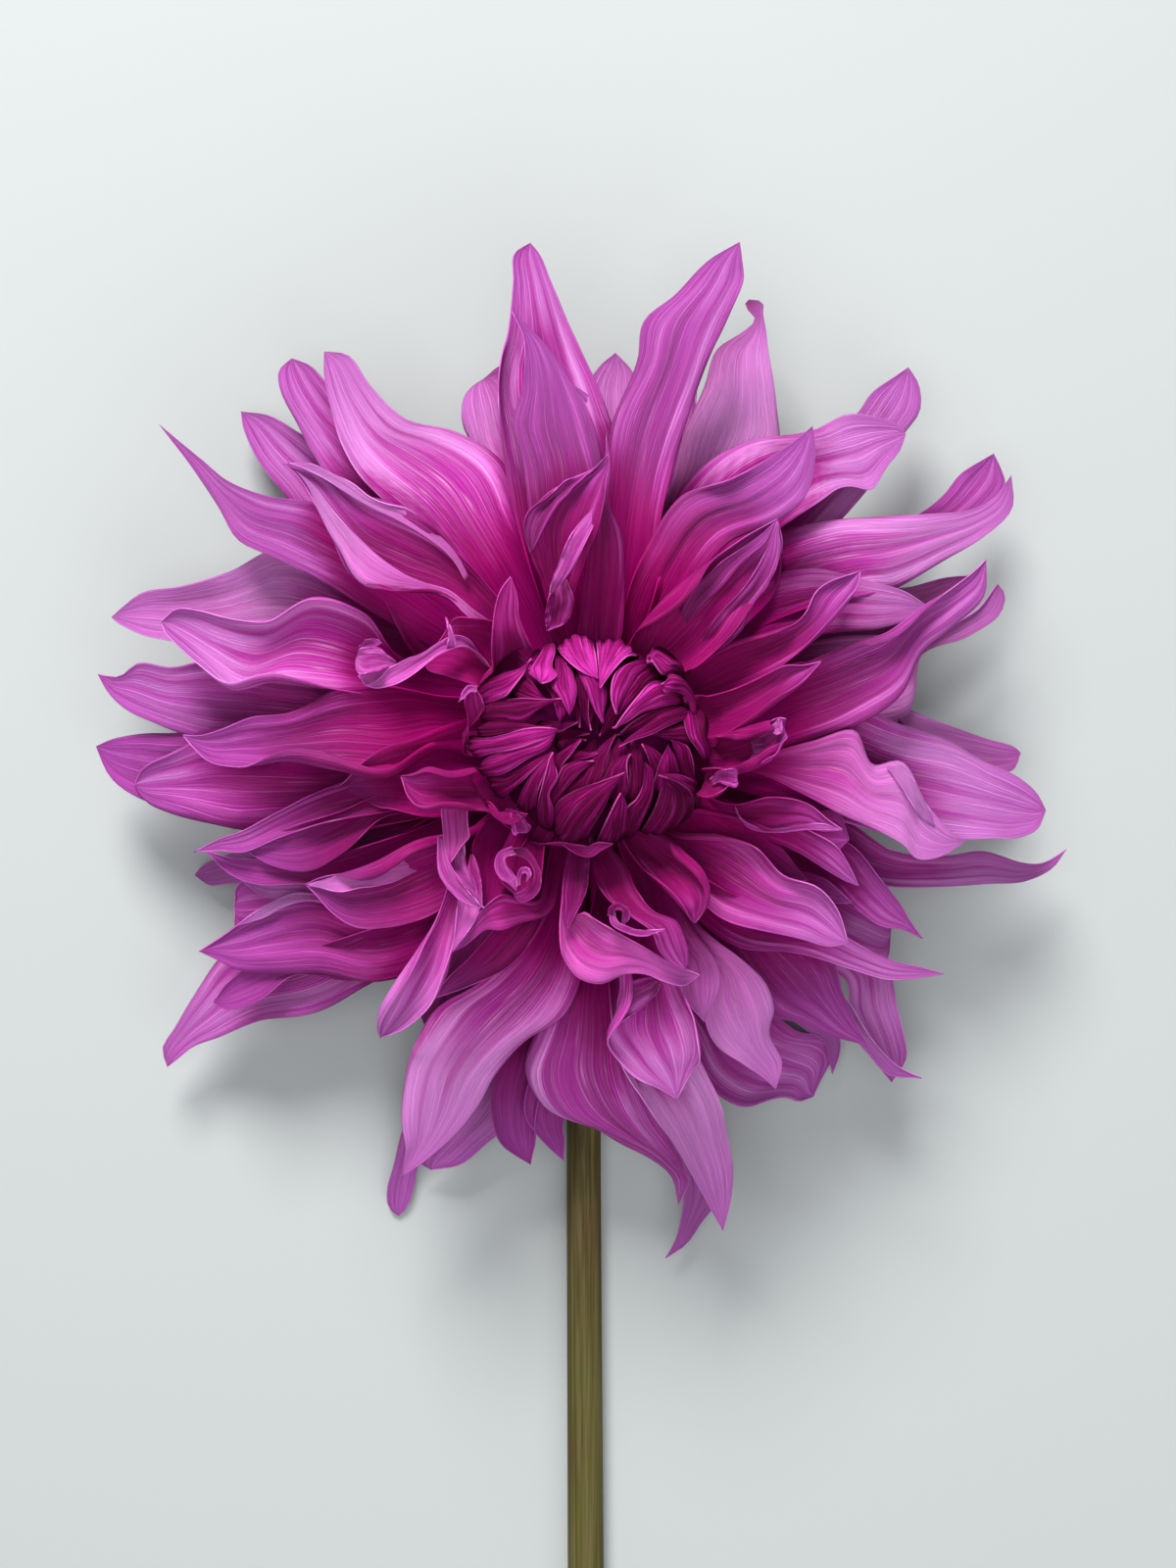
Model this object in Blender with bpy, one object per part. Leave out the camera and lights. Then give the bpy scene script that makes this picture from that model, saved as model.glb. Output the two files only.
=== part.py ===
"""A cut dinner-plate dahlia lying on its back, its stem along the surface and its face up.

The bloom opens towards +Z and the stem runs towards -Y. Lengths are in millimetres up to the
point where a mesh is made, which is in metres. Every petal row is placed from the bloom's axis.
"""

import collections
import math

import bmesh
import bpy
import numpy as np

MM = 0.001
UP = np.array([0.0, 0.0, 1.0])

# Driving dimensions of the flower, in millimetres
STEM_REACH = 272.0
STEM_NECK_RADIUS = 4.5
STEM_CUT_RADIUS = 5.05
CORE_BOTTOM, CORE_TOP = 38.0, 73.5
CORE_RADIUS, CORE_SEAT_RADIUS = 22.0, 14.0
HEART_EQUATOR = 84.0
HEART_RADIUS_X, HEART_RADIUS_Y = 30.5, 27.5
HEART_RISE, HEART_DROP = 24.0, 10.0
HEART_DENT, DENT_SPREAD = 9.0, 0.36
BLADE_THICKNESS = 1.3
SEAT_GAP = 0.3

# The bloom's axis in the part's frame, which puts the origin under the middle of the whole flower
AXIS_X, AXIS_Y = 1.89, 71.33

# The eye looks straight down on the bloom: places are read off at the bloom's middle height
EYE_DISTANCE = 650.0
EYE_X, EYE_Y = -0.5, -10.8
MIDDLE_HEIGHT = 55.0

# A petal's outline: the claw's share of the width, the place of the widest part and how far that
# shifts from petal to petal, how blunt the tip is and how far that varies, how much more the claw
# is rolled than the rest, and where along the petal its hooked tip starts
CLAW_WIDTH = 0.28
WIDEST_AT, WIDEST_SHIFT = 0.48, 0.08
TIP_BLUNTNESS, TIP_VARIETY = 2.0, 0.8
CLAW_ROLL = 0.5
HOOK_START = 0.72

# How finely blades and round solids are cut into facets
BLADE_STATIONS = 5
ROUND_SIDES = 20
STEM_SIDES = 12
STEM_STATIONS = 32

# Each row of petals: height and radius of its roots in the core, then one line for each petal.
# A line holds the tip's x and y as seen by the eye and its height, the width, the bow to the left,
# the arch upwards, the turn and twist about its own length, the roll of its left and right
# halves towards the inner face (all angles in degrees), and how far the hooked tip rises and
# bends to the left.
PETAL_ROWS = {
    "back": (46.0, 12.0, [
        (6, 99, 8, 20, 0, 14, 0, 0, 20, 20, 0, 0),
        (51, 81, 5, 20, 3, 16, 0, 10, 20, 20, 0, 0),
        (28, 94, 12, 18, -2, 14, 0, 0, 30, 10, 0, 0),
        (-88, 84, 10, 22, -6, 18, -10, 20, 30, 30, 0, 2),
        (-107, -20, 2, 24, 4, 20, 0, -10, 20, 30, 0, -3),
        (-100, -36, 0, 17, -3, 20, 10, 0, 30, 20, 0, 0),
        (-88, -44, 6, 16, 3, 16, 0, 20, 20, 20, 0, 0),
        (-49, -120, 0, 13, -6, 22, 20, 40, 20, 20, 3, 5),
        (-44, -109, 9, 22, 5, 20, -10, 0, 30, 20, 0, 0),
        (20, -131, 6, 16, 10, 18, 10, -20, 30, 30, 0, -8),
        (54, -92, 0, 28, -4, 22, 0, 0, 10, 20, 0, -3),
        (62, -84, 5, 12, 0, 18, 10, 30, 30, 30, 0, 0),
        (84, 14, 0, 22, 3, 20, 0, 0, 20, 20, 0, 0),
        (88, -46, 0, 22, -3, 20, 0, 0, 20, 20, 0, 0),
        (76, 52, 0, 22, 3, 20, 0, 0, 20, 20, 0, 0),
        (-66, 62, 0, 22, -3, 20, 0, 0, 20, 20, 0, 0),
        (-92, 22, 0, 22, 3, 20, 0, 0, 20, 20, 0, 0),
        (-70, -72, 0, 22, -3, 20, 0, 0, 20, 20, 0, 0),
        (-24, 84, 0, 22, 3, 20, 0, 0, 20, 20, 0, 0),
        (24, 74, 0, 22, -3, 20, 0, 0, 20, 20, 0, 0),
    ]),
    "second": (51.0, 13.0, [
        (-120, 31, 24, 27, -4, 10, 0, 15, 30, 20, 2, -4),
        (-125, 17, 28, 22, 4, 8, 0, 0, 20, 20, 2, -3),
        (-125, -1, 22, 30, 2, 10, 0, -20, 30, 20, 4, -4),
        (-77, 97, 20, 22, -8, 12, 0, 15, 30, 30, 0, 3),
        (-30, 92, 28, 27, 6, 12, 10, 0, 40, 10, 0, 0),
        (42, 112, 24, 27, -6, 12, -10, 20, 20, 30, 5, 4),
        (81, 95, 22, 22, 6, 10, 0, 10, 30, 20, 3, 2),
        (103, 72, 22, 22, 8, 10, 0, 0, 30, 20, 3, 6),
        (97, 42, 20, 18, 4, 10, 0, 0, 20, 20, 0, 0),
        (105, 38, 30, 22, -8, 8, 0, -15, 30, 20, 3, 5),
        (109, -3, 14, 17, 4, 12, 0, 0, 20, 20, 0, 3),
        (121, -29, 20, 20, -3, 12, 10, 30, 30, 10, 4, 7),
        (78, -86, 14, 22, -10, 16, -10, 0, 30, 20, 0, -5),
        (84, -86, 16, 9, -12, 14, 20, 30, 40, 40, 0, 0),
        (-108, -82, 16, 25, -8, 14, 0, 15, 40, 30, 0, 7),
        (-15, -107, 24, 17, -3, 16, 0, 0, 30, 20, 0, 0),
        (-7, -106, 26, 15, 2, 14, 0, 0, 20, 30, 0, 0),
    ]),
    "third": (57.0, 14.0, [
        (-109, 80, 46, 25, 10, 6, 0, 20, 10, 20, 4, 0),
        (-67, 99, 48, 34, -4, 8, 0, 0, 20, 20, 4, 2),
        (-14, 127, 44, 25, -2, 8, 0, 0, 30, 30, 4, 4),
        (-3, 91, 50, 31, 12, 8, 10, 0, 30, 20, 0, 0),
        (80, 78, 44, 26, 4, 12, 0, 0, -20, -30, -4, 0),
        (107, 67, 40, 28, -6, 8, 10, -20, -20, 30, 5, 7),
        (116, -17, 36, 28, 6, 12, 0, 0, -20, -20, -3, 2),
        (84, -49, 40, 17, 8, 10, -10, 0, 20, 20, 0, 0),
        (69, -76, 26, 31, -4, 18, 0, 0, 10, 20, 0, -3),
        (34, -124, 34, 23, 4, 16, 0, 10, 30, 10, 0, -6),
        (23, -117, 28, 31, -11, 18, 0, 0, 10, 20, 0, 4),
        (-98, -54, 38, 26, 4, 12, 0, 0, 20, 30, 0, -3),
        (-97, -29, 36, 19, -4, 10, 0, 0, 30, 30, 0, 0),
    ]),
    "fourth": (63.0, 14.0, [
        (-109, 30, 52, 26, 6, 6, 0, 10, 30, -20, 3, -4),
        (-103, 1, 58, 27, 2, 4, 0, 0, 50, 20, 3, 2),
        (-20, 110, 62, 25, 6, 4, 0, -10, 20, 30, 3, 4),
        (38, 127, 60, 26, -10, 4, 10, 0, 20, 20, 3, -5),
        (56, 80, 72, 26, 4, 2, 0, 10, 20, 30, 4, 4),
        (101, 45, 56, 28, -8, 6, 0, 20, 40, 10, 5, 6),
        (86, 35, 50, 23, 6, 8, 0, 0, 10, 20, 0, 0),
        (95, -24, 54, 29, 4, 12, 0, 0, -20, -10, -4, -3),
        (67, -35, 62, 17, 4, 10, 0, 0, 30, 30, 0, 0),
        (66, -41, 54, 15, 2, 10, 0, 0, 30, 30, 0, 0),
        (89, -59, 50, 21, 4, 12, 0, 10, 20, 20, 0, 5),
        (48, -88, 52, 28, 8, 16, 0, 0, 20, 10, 0, -4),
        (-47, -109, 48, 36, 4, 18, 0, 0, 20, 10, 0, 3),
        (-100, -28, 48, 17, -6, 6, 10, 0, 40, 40, 0, 0),
        (-89, -28, 50, 19, -8, 8, 0, 0, 20, 30, 0, 0),
    ]),
    "inner": (67.0, 14.0, [
        (-75, 71, 76, 28, 4, 2, 0, 10, 60, 40, 3, -3),
        (-58, 19, 92, 23, -4, -4, 0, 0, 90, 60, 6, 0),
        (47, 57, 84, 27, 2, 0, 0, 0, 70, 70, 2, 3),
        (5, 73, 92, 29, 6, -4, 0, 0, 70, 90, 2, 0),
        (4, 78, 84, 18, -6, 0, 0, 0, 20, 30, 0, 0),
        (68, 42, 78, 21, -2, 2, 0, 0, 60, 60, 2, 2),
        (59, 20, 86, 19, -2, 0, 0, 10, 80, 30, 2, 0),
        (64, -22, 76, 23, -4, 4, 0, 0, 70, 60, 2, -3),
        (65, -51, 74, 27, 2, 12, 0, 0, 30, -20, 0, -3),
        (23, -90, 66, 26, -6, 14, 0, 0, 60, 50, 0, -3),
        (27, -60, 80, 31, -12, 12, 0, 20, 40, 60, -4, 4),
        (-52, -74, 70, 21, 6, 12, 0, 0, 80, 60, 0, 3),
        (-71, -38, 72, 25, -6, 8, 0, 0, 70, 60, 2, 0),
        (-35, -53, 78, 24, 0, 10, 0, 0, 30, 40, 4, 0),
    ]),
    "collar": (69.0, 15.0, [
        (-20, 40, 97, 14, 2, -6, 0, 0, 50, 40, 0, 0),
        (28, -45, 88, 19, 4, 6, 0, 0, 60, 70, -4, 0),
        (-27, -42, 88, 15, 6, 6, 0, 20, 50, 50, 0, 0),
        (-19, -38, 92, 19, -4, 4, 0, 0, 90, 90, 6, 0),
        (-47, -9, 92, 16, 0, 4, 0, 0, 40, 50, 4, 0),
        (-31, 13, 98, 10, 0, -4, 0, 0, 80, 80, 3, 0),
        (-25, -20, 95, 13, 0, 2, 0, 0, 50, 50, 3, 0),
        (3, -28, 92, 16, 0, 4, 0, 0, 60, 60, 4, 0),
        (36, -8, 95, 10, 0, -2, 0, 0, 70, 60, 3, 0),
        (47, 3, 92, 16, 0, 0, 0, 0, 100, 90, 2, 0),
    ]),
}

# Petals that fill the bloom behind those above, set round it by the golden angle
GOLDEN_ANGLE = math.radians(137.508)
FILL_COUNT = 6
FILL_ROOT_HEIGHTS = (48.0, 66.0)
FILL_TIP_HEIGHTS = (16.0, 62.0)
FILL_REACHES = (88.0, 62.0)
FILL_WIDTH = 24.0
FILL_SEED = 11

# The closed florets of the heart, from its rim up to the middle
FLORET_COUNT = 34
FLORET_STATIONS = 3
FLORET_LENGTH = math.radians(46)
FLORET_SWIRL = math.radians(15)
FLORET_WIDTHS = (19.0, 12.0)

# Shares of the heart's radius: its bare dome, a floret's root and how far it rises, and its keel
DOME_SHARE = 0.84
FLORET_DEPTHS = (0.91, 0.06)
KEEL_RISE = 0.03

# Bracts behind the bloom, grown from the receptacle
BRACT_COUNT = 7
BRACT_WIDTH = 8.0

Petal = collections.namedtuple(
    "Petal", "x y height width bow arch turn twist roll_left roll_right hook sway"
)


def clear_scene():
    for obj in list(bpy.data.objects):
        bpy.data.objects.remove(obj, do_unlink=True)


def unit(v):
    return v / np.maximum(np.linalg.norm(v, axis=-1, keepdims=True), 1e-9)


def blend(ends, share):
    return ends[0] + (ends[1] - ends[0]) * share


def principled(name, colour, roughness):
    material = bpy.data.materials.new(name)
    material.use_nodes = True
    shader = material.node_tree.nodes["Principled BSDF"]
    shader.inputs["Base Color"].default_value = (*colour, 1.0)
    shader.inputs["Roughness"].default_value = roughness
    shader.inputs["Metallic"].default_value = 0.0
    return material


def mesh_object(name, points, faces):
    """An object whose points are given in millimetres from the bloom's axis."""
    mesh = bpy.data.meshes.new(name)
    placed = (np.asarray(points) + (AXIS_X, AXIS_Y, 0.0)) * MM
    mesh.from_pydata(placed.tolist(), [], faces)
    obj = bpy.data.objects.new(name, mesh)
    bpy.context.scene.collection.objects.link(obj)
    return obj


def stack(name, rings):
    """A closed solid of rings of points, one on the other from the bottom up."""
    sides = len(rings[0])
    points = np.concatenate(rings)
    faces = [list(range(sides))[::-1]]
    for level in range(len(rings) - 1):
        for side in range(sides):
            here, there = level * sides + side, level * sides + (side + 1) % sides
            faces.append([here, there, there + sides, here + sides])
    faces.append(list(range(len(points) - sides, len(points))))
    return mesh_object(name, points, faces)


def flat_ring(radius_x, radius_y, height):
    turn = 2 * math.pi * np.arange(ROUND_SIDES) / ROUND_SIDES
    return np.stack([radius_x * np.cos(turn), radius_y * np.sin(turn), np.full(ROUND_SIDES, height)], axis=-1)


def loft_blade(name, lefts, tops, rights, bottoms, tip):
    """A thin solid of four-cornered sections that ends in a point.

    Both faces are split along the same diagonals, so that they never cross.
    """
    sections = np.stack([lefts, tops, rights, bottoms], axis=1)
    points = np.concatenate([sections.reshape(-1, 3), tip[None]])
    count = len(sections)
    faces = [[0, 2, 1], [0, 3, 2]]
    for station in range(count - 1):
        left, top, right, bottom = range(4 * station, 4 * station + 4)
        faces += [[left, top + 4, left + 4], [left, top, top + 4]]
        faces += [[right + 4, top + 4, right], [right, top + 4, top]]
        faces += [[left + 4, bottom + 4, left], [left, bottom + 4, bottom]]
        faces += [[right, bottom + 4, right + 4], [right, bottom, bottom + 4]]
    left, top, right, bottom = range(4 * count - 4, 4 * count)
    end = 4 * count
    faces += [[left, top, end], [top, right, end], [right, bottom, end], [bottom, left, end]]
    return mesh_object(name, points, faces)


def as_seen(x, y, height):
    """The true place of a point that the eye sees at x, y in the plane of the middle height."""
    nearness = (EYE_DISTANCE - (height - MIDDLE_HEIGHT)) / EYE_DISTANCE
    return np.array([EYE_X + (x - EYE_X) * nearness, EYE_Y + (y - EYE_Y) * nearness, height])


def clear_of_heart(points, gap):
    """Moves points that lie in the closed centre out to its skin."""
    out = points - UP * HEART_EQUATOR
    height = np.where(out[..., 2] > 0, HEART_RISE, HEART_DROP)
    sides = np.stack([np.full_like(height, HEART_RADIUS_X), np.full_like(height, HEART_RADIUS_Y), height],
                     axis=-1) + gap
    depth = np.linalg.norm(out / sides, axis=-1, keepdims=True)
    return np.where(depth < 1.0, UP * HEART_EQUATOR + out / np.maximum(depth, 0.3), points)


def centre_line(petal, root, along):
    """Points along the middle of a petal, from its root in the core to its tip."""
    tip = as_seen(petal.x, petal.y, petal.height)
    outward = unit(tip * (1, 1, 0))
    start = outward * root[1] + UP * root[0]
    s = along[:, None]
    belly = 4 * s * (1 - s)
    hooked = np.maximum((s - HOOK_START) / (1 - HOOK_START), 0) ** 2
    left = np.cross(UP, outward)
    line = start + (tip - start) * s + belly * (petal.arch * UP + petal.bow * left)
    return clear_of_heart(line + (hooked - s) * (petal.hook * UP + petal.sway * left), BLADE_THICKNESS)


def half_width(petal, along):
    """Half the petal's width: a narrow claw, widest near the middle, and a pointed tip."""
    widest = WIDEST_AT + WIDEST_SHIFT * math.sin(0.9 * petal.x + 0.7 * petal.y)
    bluntness = TIP_BLUNTNESS + TIP_VARIETY * math.sin(2.3 * petal.x + 1.1 * petal.y)
    rising = CLAW_WIDTH + (1 - CLAW_WIDTH) * np.sin(np.clip(along / widest, 0, 1) * math.pi / 2)
    falling = 1 - np.clip((along - widest) / (1 - widest), 0, 1) ** bluntness
    return petal.width / 2 * rising * falling


def petal_sheet(petal, root, along, across):
    """Points on the petal's sheet for each place along it, and the way its inner face looks.

    across is 1 on the left edge, 0 on the midrib and -1 on the right edge.
    """
    step = 0.01
    line = centre_line(petal, root, along)
    ahead = unit(centre_line(petal, root, along + step) - centre_line(petal, root, along - step))
    outward = unit(line[-1] * (1, 1, 0))
    facing = UP - 0.6 * outward
    facing = unit(facing - ahead * np.sum(facing * ahead, axis=-1, keepdims=True))
    left = np.cross(facing, ahead)
    turn = np.radians(petal.turn + petal.twist * along)[:, None]
    facing, left = (facing * np.cos(turn) + left * np.sin(turn), left * np.cos(turn) - facing * np.sin(turn))
    roll = petal.roll_left if across > 0 else petal.roll_right
    angle = np.radians(roll * (1 + CLAW_ROLL * (1 - along) ** 2))[:, None] * abs(across) + 1e-6
    reach = half_width(petal, along)[:, None] * abs(across)
    sheet = line + left * np.sign(across) * reach * np.sin(angle) / angle
    return sheet + facing * reach * (1 - np.cos(angle)) / angle, facing


def petal_blade(name, petal, root):
    along = np.arange(BLADE_STATIONS) / BLADE_STATIONS
    middle, facing = petal_sheet(petal, root, along, 0)
    half = BLADE_THICKNESS / 2 * facing
    lefts = petal_sheet(petal, root, along, 1)[0]
    rights = petal_sheet(petal, root, along, -1)[0]
    tip = centre_line(petal, root, np.array([1.0]))[0]
    return loft_blade(name, lefts, middle + half, rights, middle - half, tip)


def fill_petals():
    """Petals between the rows, each with its root, its reach and its tip set by its place in the spiral."""
    draw = np.random.default_rng(FILL_SEED)
    petals = []
    for place in range(FILL_COUNT):
        share = place / (FILL_COUNT - 1)
        angle = GOLDEN_ANGLE * place
        reach = blend(FILL_REACHES, share) + draw.uniform(-4, 4)
        petal = Petal(reach * math.cos(angle), reach * math.sin(angle), blend(FILL_TIP_HEIGHTS, share),
                      FILL_WIDTH, draw.uniform(-5, 5), blend((18, 8), share), 0, draw.uniform(-15, 15),
                      25, 25, 0, draw.uniform(-4, 4))
        petals.append((petal, (blend(FILL_ROOT_HEIGHTS, share), CORE_SEAT_RADIUS)))
    return petals


def all_petals():
    """Every petal with the height and the radius of its root."""
    rows = [(Petal(*line), (height, radius)) for height, radius, lines in PETAL_ROWS.values() for line in lines]
    return rows + fill_petals()


def apply_boolean(obj, operation, collection=None, other=None):
    """Joins or cuts with the solver that keeps a hundred crossing blades one closed body."""
    cut = obj.modifiers.new(operation.lower(), "BOOLEAN")
    cut.operation = operation
    cut.solver = "MANIFOLD"
    if collection:
        cut.operand_type = "COLLECTION"
        cut.collection = collection
    else:
        cut.object = other
    bpy.context.view_layer.objects.active = obj
    bpy.ops.object.modifier_apply(modifier=cut.name)


def remove_objects(objects):
    for obj in list(objects):
        bpy.data.objects.remove(obj, do_unlink=True)


def fuse(base, pieces):
    """Joins the pieces and the base that they grow from into one body."""
    collection = bpy.data.collections.new(base.name + "_pieces")
    bpy.context.scene.collection.children.link(collection)
    for piece in pieces:
        collection.objects.link(piece)
    apply_boolean(base, "UNION", collection=collection)
    remove_objects(pieces)
    bpy.data.collections.remove(collection)


def signed_volume(faces):
    total = 0.0
    for face in faces:
        corners = [vert.co for vert in face.verts]
        for second, third in zip(corners[1:], corners[2:]):
            total += corners[0].dot(second.cross(third))
    return total


def connected_faces(bm):
    """The faces of each loose body of the mesh."""
    waiting = set(bm.faces)
    bodies = []
    while waiting:
        body, reached = set(), [waiting.pop()]
        while reached:
            face = reached.pop()
            body.add(face)
            near = {other for edge in face.edges for other in edge.link_faces} & waiting
            waiting -= near
            reached += near
        bodies.append(body)
    return bodies


def keep_main_body(obj):
    """Drops the loose scraps and fills the hollows that fusing left."""
    bm = bmesh.new()
    bm.from_mesh(obj.data)
    bodies = sorted(connected_faces(bm), key=signed_volume)
    dropped = [face for body in bodies[:-1] for face in body]
    bmesh.ops.delete(bm, geom=dropped, context="FACES")
    bm.to_mesh(obj.data)
    bm.free()


def finish(obj, material, smooth=False):
    keep_main_body(obj)
    obj.data.materials.clear()
    obj.data.materials.append(material)
    if smooth:
        obj.data.shade_smooth()
        obj.data.set_sharp_from_angle(angle=math.radians(40))


def floor_cutter():
    """A slab below the surface that the flower lies on."""
    rings = [flat_ring(400, 400, -60), flat_ring(400, 400, 0)]
    return stack("floor_cutter", rings)


def heart_cutter():
    """The room that the closed centre takes up, with the gap round it."""
    rings = []
    for polar in np.radians(np.linspace(172, 8, 12)):
        height = (HEART_RISE if polar < math.pi / 2 else HEART_DROP) + SEAT_GAP
        wide = math.sin(polar)
        rings.append(flat_ring((HEART_RADIUS_X + SEAT_GAP) * wide, (HEART_RADIUS_Y + SEAT_GAP) * wide,
                               HEART_EQUATOR + height * math.cos(polar)))
    return stack("heart_cutter", rings)


def make_petals():
    """The ray florets in their layers, on the part of the receptacle that carries them."""
    heights = np.linspace(CORE_BOTTOM, CORE_TOP, 6)
    swell = np.sin(np.linspace(0, math.pi, 6))
    radii = CORE_SEAT_RADIUS + (CORE_RADIUS - CORE_SEAT_RADIUS) * swell
    core = stack("petals", [flat_ring(radius, radius, height) for radius, height in zip(radii, heights)])
    blades = [petal_blade(f"petal_{place}", petal, root) for place, (petal, root) in enumerate(all_petals())]
    fuse(core, blades)
    cutters = [heart_cutter(), floor_cutter()]
    for cutter in cutters:
        apply_boolean(core, "DIFFERENCE", other=cutter)
    remove_objects(cutters)
    finish(core, principled("petal_magenta", (0.48, 0.05, 0.36), 0.5))


def dent(polar):
    """How deep the dome is sunken at that angle from its axis."""
    return HEART_DENT * np.exp(-(np.sin(polar) / DENT_SPREAD) ** 2)


def on_heart(polar, azimuth, share):
    """A point of the closed centre at that share of its radius, sunken near the middle."""
    radii = (HEART_RADIUS_X, HEART_RADIUS_Y, HEART_RISE)
    way = np.stack([np.sin(polar) * np.cos(azimuth), np.sin(polar) * np.sin(azimuth), np.cos(polar)], axis=-1)
    skin = UP * HEART_EQUATOR + way * radii * np.asarray(share)[..., None]
    return skin - UP * np.asarray(dent(polar))[..., None]


def heart_floret(place):
    """A pointed floret that lies against the dome and turns in towards the middle."""
    share = place / (FLORET_COUNT - 1)
    base = math.acos(blend((-0.02, 0.86), share))
    length = min(FLORET_LENGTH, base - math.radians(6))
    azimuth = GOLDEN_ANGLE * place
    along = np.arange(FLORET_STATIONS) / FLORET_STATIONS
    polar = base - length * along
    bearing = azimuth + FLORET_SWIRL * along ** 2 / max(math.sin(base), 0.35)
    half = blend(FLORET_WIDTHS, share) / 2 * np.sin(math.radians(50) + along * math.radians(115))
    depth = FLORET_DEPTHS[0] + FLORET_DEPTHS[1] * np.sin(along * math.pi * 0.6)
    middle = on_heart(polar, bearing, depth)
    keel = on_heart(polar, bearing, depth + KEEL_RISE) - middle
    ahead = unit(np.gradient(middle, axis=0))
    left = unit(np.cross(unit(keel), ahead)) * half[:, None]
    sunk = middle - keel * 3.6
    tip = on_heart(base - length, azimuth + FLORET_SWIRL / max(math.sin(base), 0.35), 0.97)
    return loft_blade(f"floret_{place}", sunk + left, middle + keel, sunk - left, middle - keel * 3.0, tip)


def make_heart():
    """The dark closed centre: a dome that its rolled florets stand out of."""
    bottom = CORE_TOP + SEAT_GAP
    radius_x, radius_y, rise = DOME_SHARE * HEART_RADIUS_X, DOME_SHARE * HEART_RADIUS_Y, DOME_SHARE * HEART_RISE
    rings = [flat_ring(10, 10, bottom), flat_ring(radius_x, radius_y, HEART_EQUATOR - 2)]
    for polar in np.radians(np.linspace(80, 12, 6)):
        rings.append(flat_ring(radius_x * math.sin(polar), radius_y * math.sin(polar),
                               HEART_EQUATOR + rise * math.cos(polar) - dent(polar)))
    heart = stack("heart", rings)
    fuse(heart, [heart_floret(place) for place in range(FLORET_COUNT)])
    finish(heart, principled("heart_wine", (0.13, 0.01, 0.09), 0.45))


def smooth_path(points, steps):
    """Points spaced evenly along a smooth curve through those given."""
    given = np.asarray(points, dtype=float)
    padded = np.concatenate([2 * given[:1] - given[1:2], given, 2 * given[-1:] - given[-2:-1]])
    runs = []
    for a, b, c, d in zip(padded, padded[1:], padded[2:], padded[3:]):
        t = np.linspace(0, 1, 24, endpoint=False)[:, None]
        runs.append(0.5 * (2 * b + (c - a) * t + (2 * a - 5 * b + 4 * c - d) * t ** 2
                           + (3 * b - a - 3 * c + d) * t ** 3))
    fine = np.concatenate(runs + [given[-1:]])
    travelled = np.concatenate([[0], np.cumsum(np.linalg.norm(np.diff(fine, axis=0), axis=1))])
    at = np.linspace(0, travelled[-1], steps)
    return np.stack([np.interp(at, travelled, fine[:, axis]) for axis in range(3)], axis=-1)


# The stem's route from the cut end, along the surface and up its bent neck to the receptacle
STEM_ROUTE = [
    (-0.9, -STEM_REACH, STEM_CUT_RADIUS), (-1.2, -210, 5.1), (-1.5, -150, 5.5), (-1.6, -100, 7.0),
    (-1.2, -66, 9.6), (-0.6, -36, 14.0), (-0.2, -14, 21.0), (0, -3.5, 29.0), (0, 0, CORE_BOTTOM - SEAT_GAP),
]
# How far the stalk swells towards the receptacle: places along the stem and their radii
SWELLING = [(0.0, STEM_CUT_RADIUS), (0.9, STEM_NECK_RADIUS), (0.94, 4.9), (0.965, 7.5), (0.985, 12.0), (1.0, 14.0)]


def stem_rings():
    route = smooth_path(STEM_ROUTE, STEM_STATIONS)
    ahead = unit(np.gradient(route, axis=0))
    ahead[0] = (0, 1, 0)
    ahead[-1] = UP
    across = unit(np.cross(ahead, (1.0, 0.0, 0.0)))
    places, radii = zip(*SWELLING)
    radius = np.interp(np.linspace(0, 1, len(route)), places, radii)
    turn = 2 * math.pi * np.arange(STEM_SIDES) / STEM_SIDES
    rings = []
    for centre, way, up, size in zip(route, ahead, across, radius):
        side = np.cross(way, up)
        rings.append(centre + size * (np.cos(turn)[:, None] * up + np.sin(turn)[:, None] * side))
    return rings


def bract(place):
    """A small green leaf behind the bloom, bent back towards the stalk."""
    angle = 2 * math.pi * (place + 0.5) / BRACT_COUNT + math.radians(90)
    outward = np.array([math.cos(angle), math.sin(angle), 0.0])
    sideways = np.cross(UP, outward)
    route = smooth_path([outward * 9 + UP * 33.5, outward * 17 + UP * 33, outward * 24 + UP * 29,
                         outward * 28 + UP * 22], 5)
    half = BRACT_WIDTH / 2 * np.array([0.8, 1.0, 1.0, 0.75])[:, None] * sideways
    line = route[:-1]
    lift = UP * BLADE_THICKNESS / 2
    return loft_blade(f"bract_{place}", line + half + lift, line + lift, line - half + lift, line - lift, route[-1])


def make_stem():
    """The green stalk with the receptacle and its bracts."""
    stem = stack("stem", stem_rings())
    fuse(stem, [bract(place) for place in range(BRACT_COUNT)])
    finish(stem, principled("stem_green", (0.16, 0.15, 0.04), 0.55), smooth=True)


clear_scene()
make_petals()
make_heart()
make_stem()
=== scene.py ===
import collections
import math

import bpy
import numpy as np
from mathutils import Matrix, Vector, noise


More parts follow.
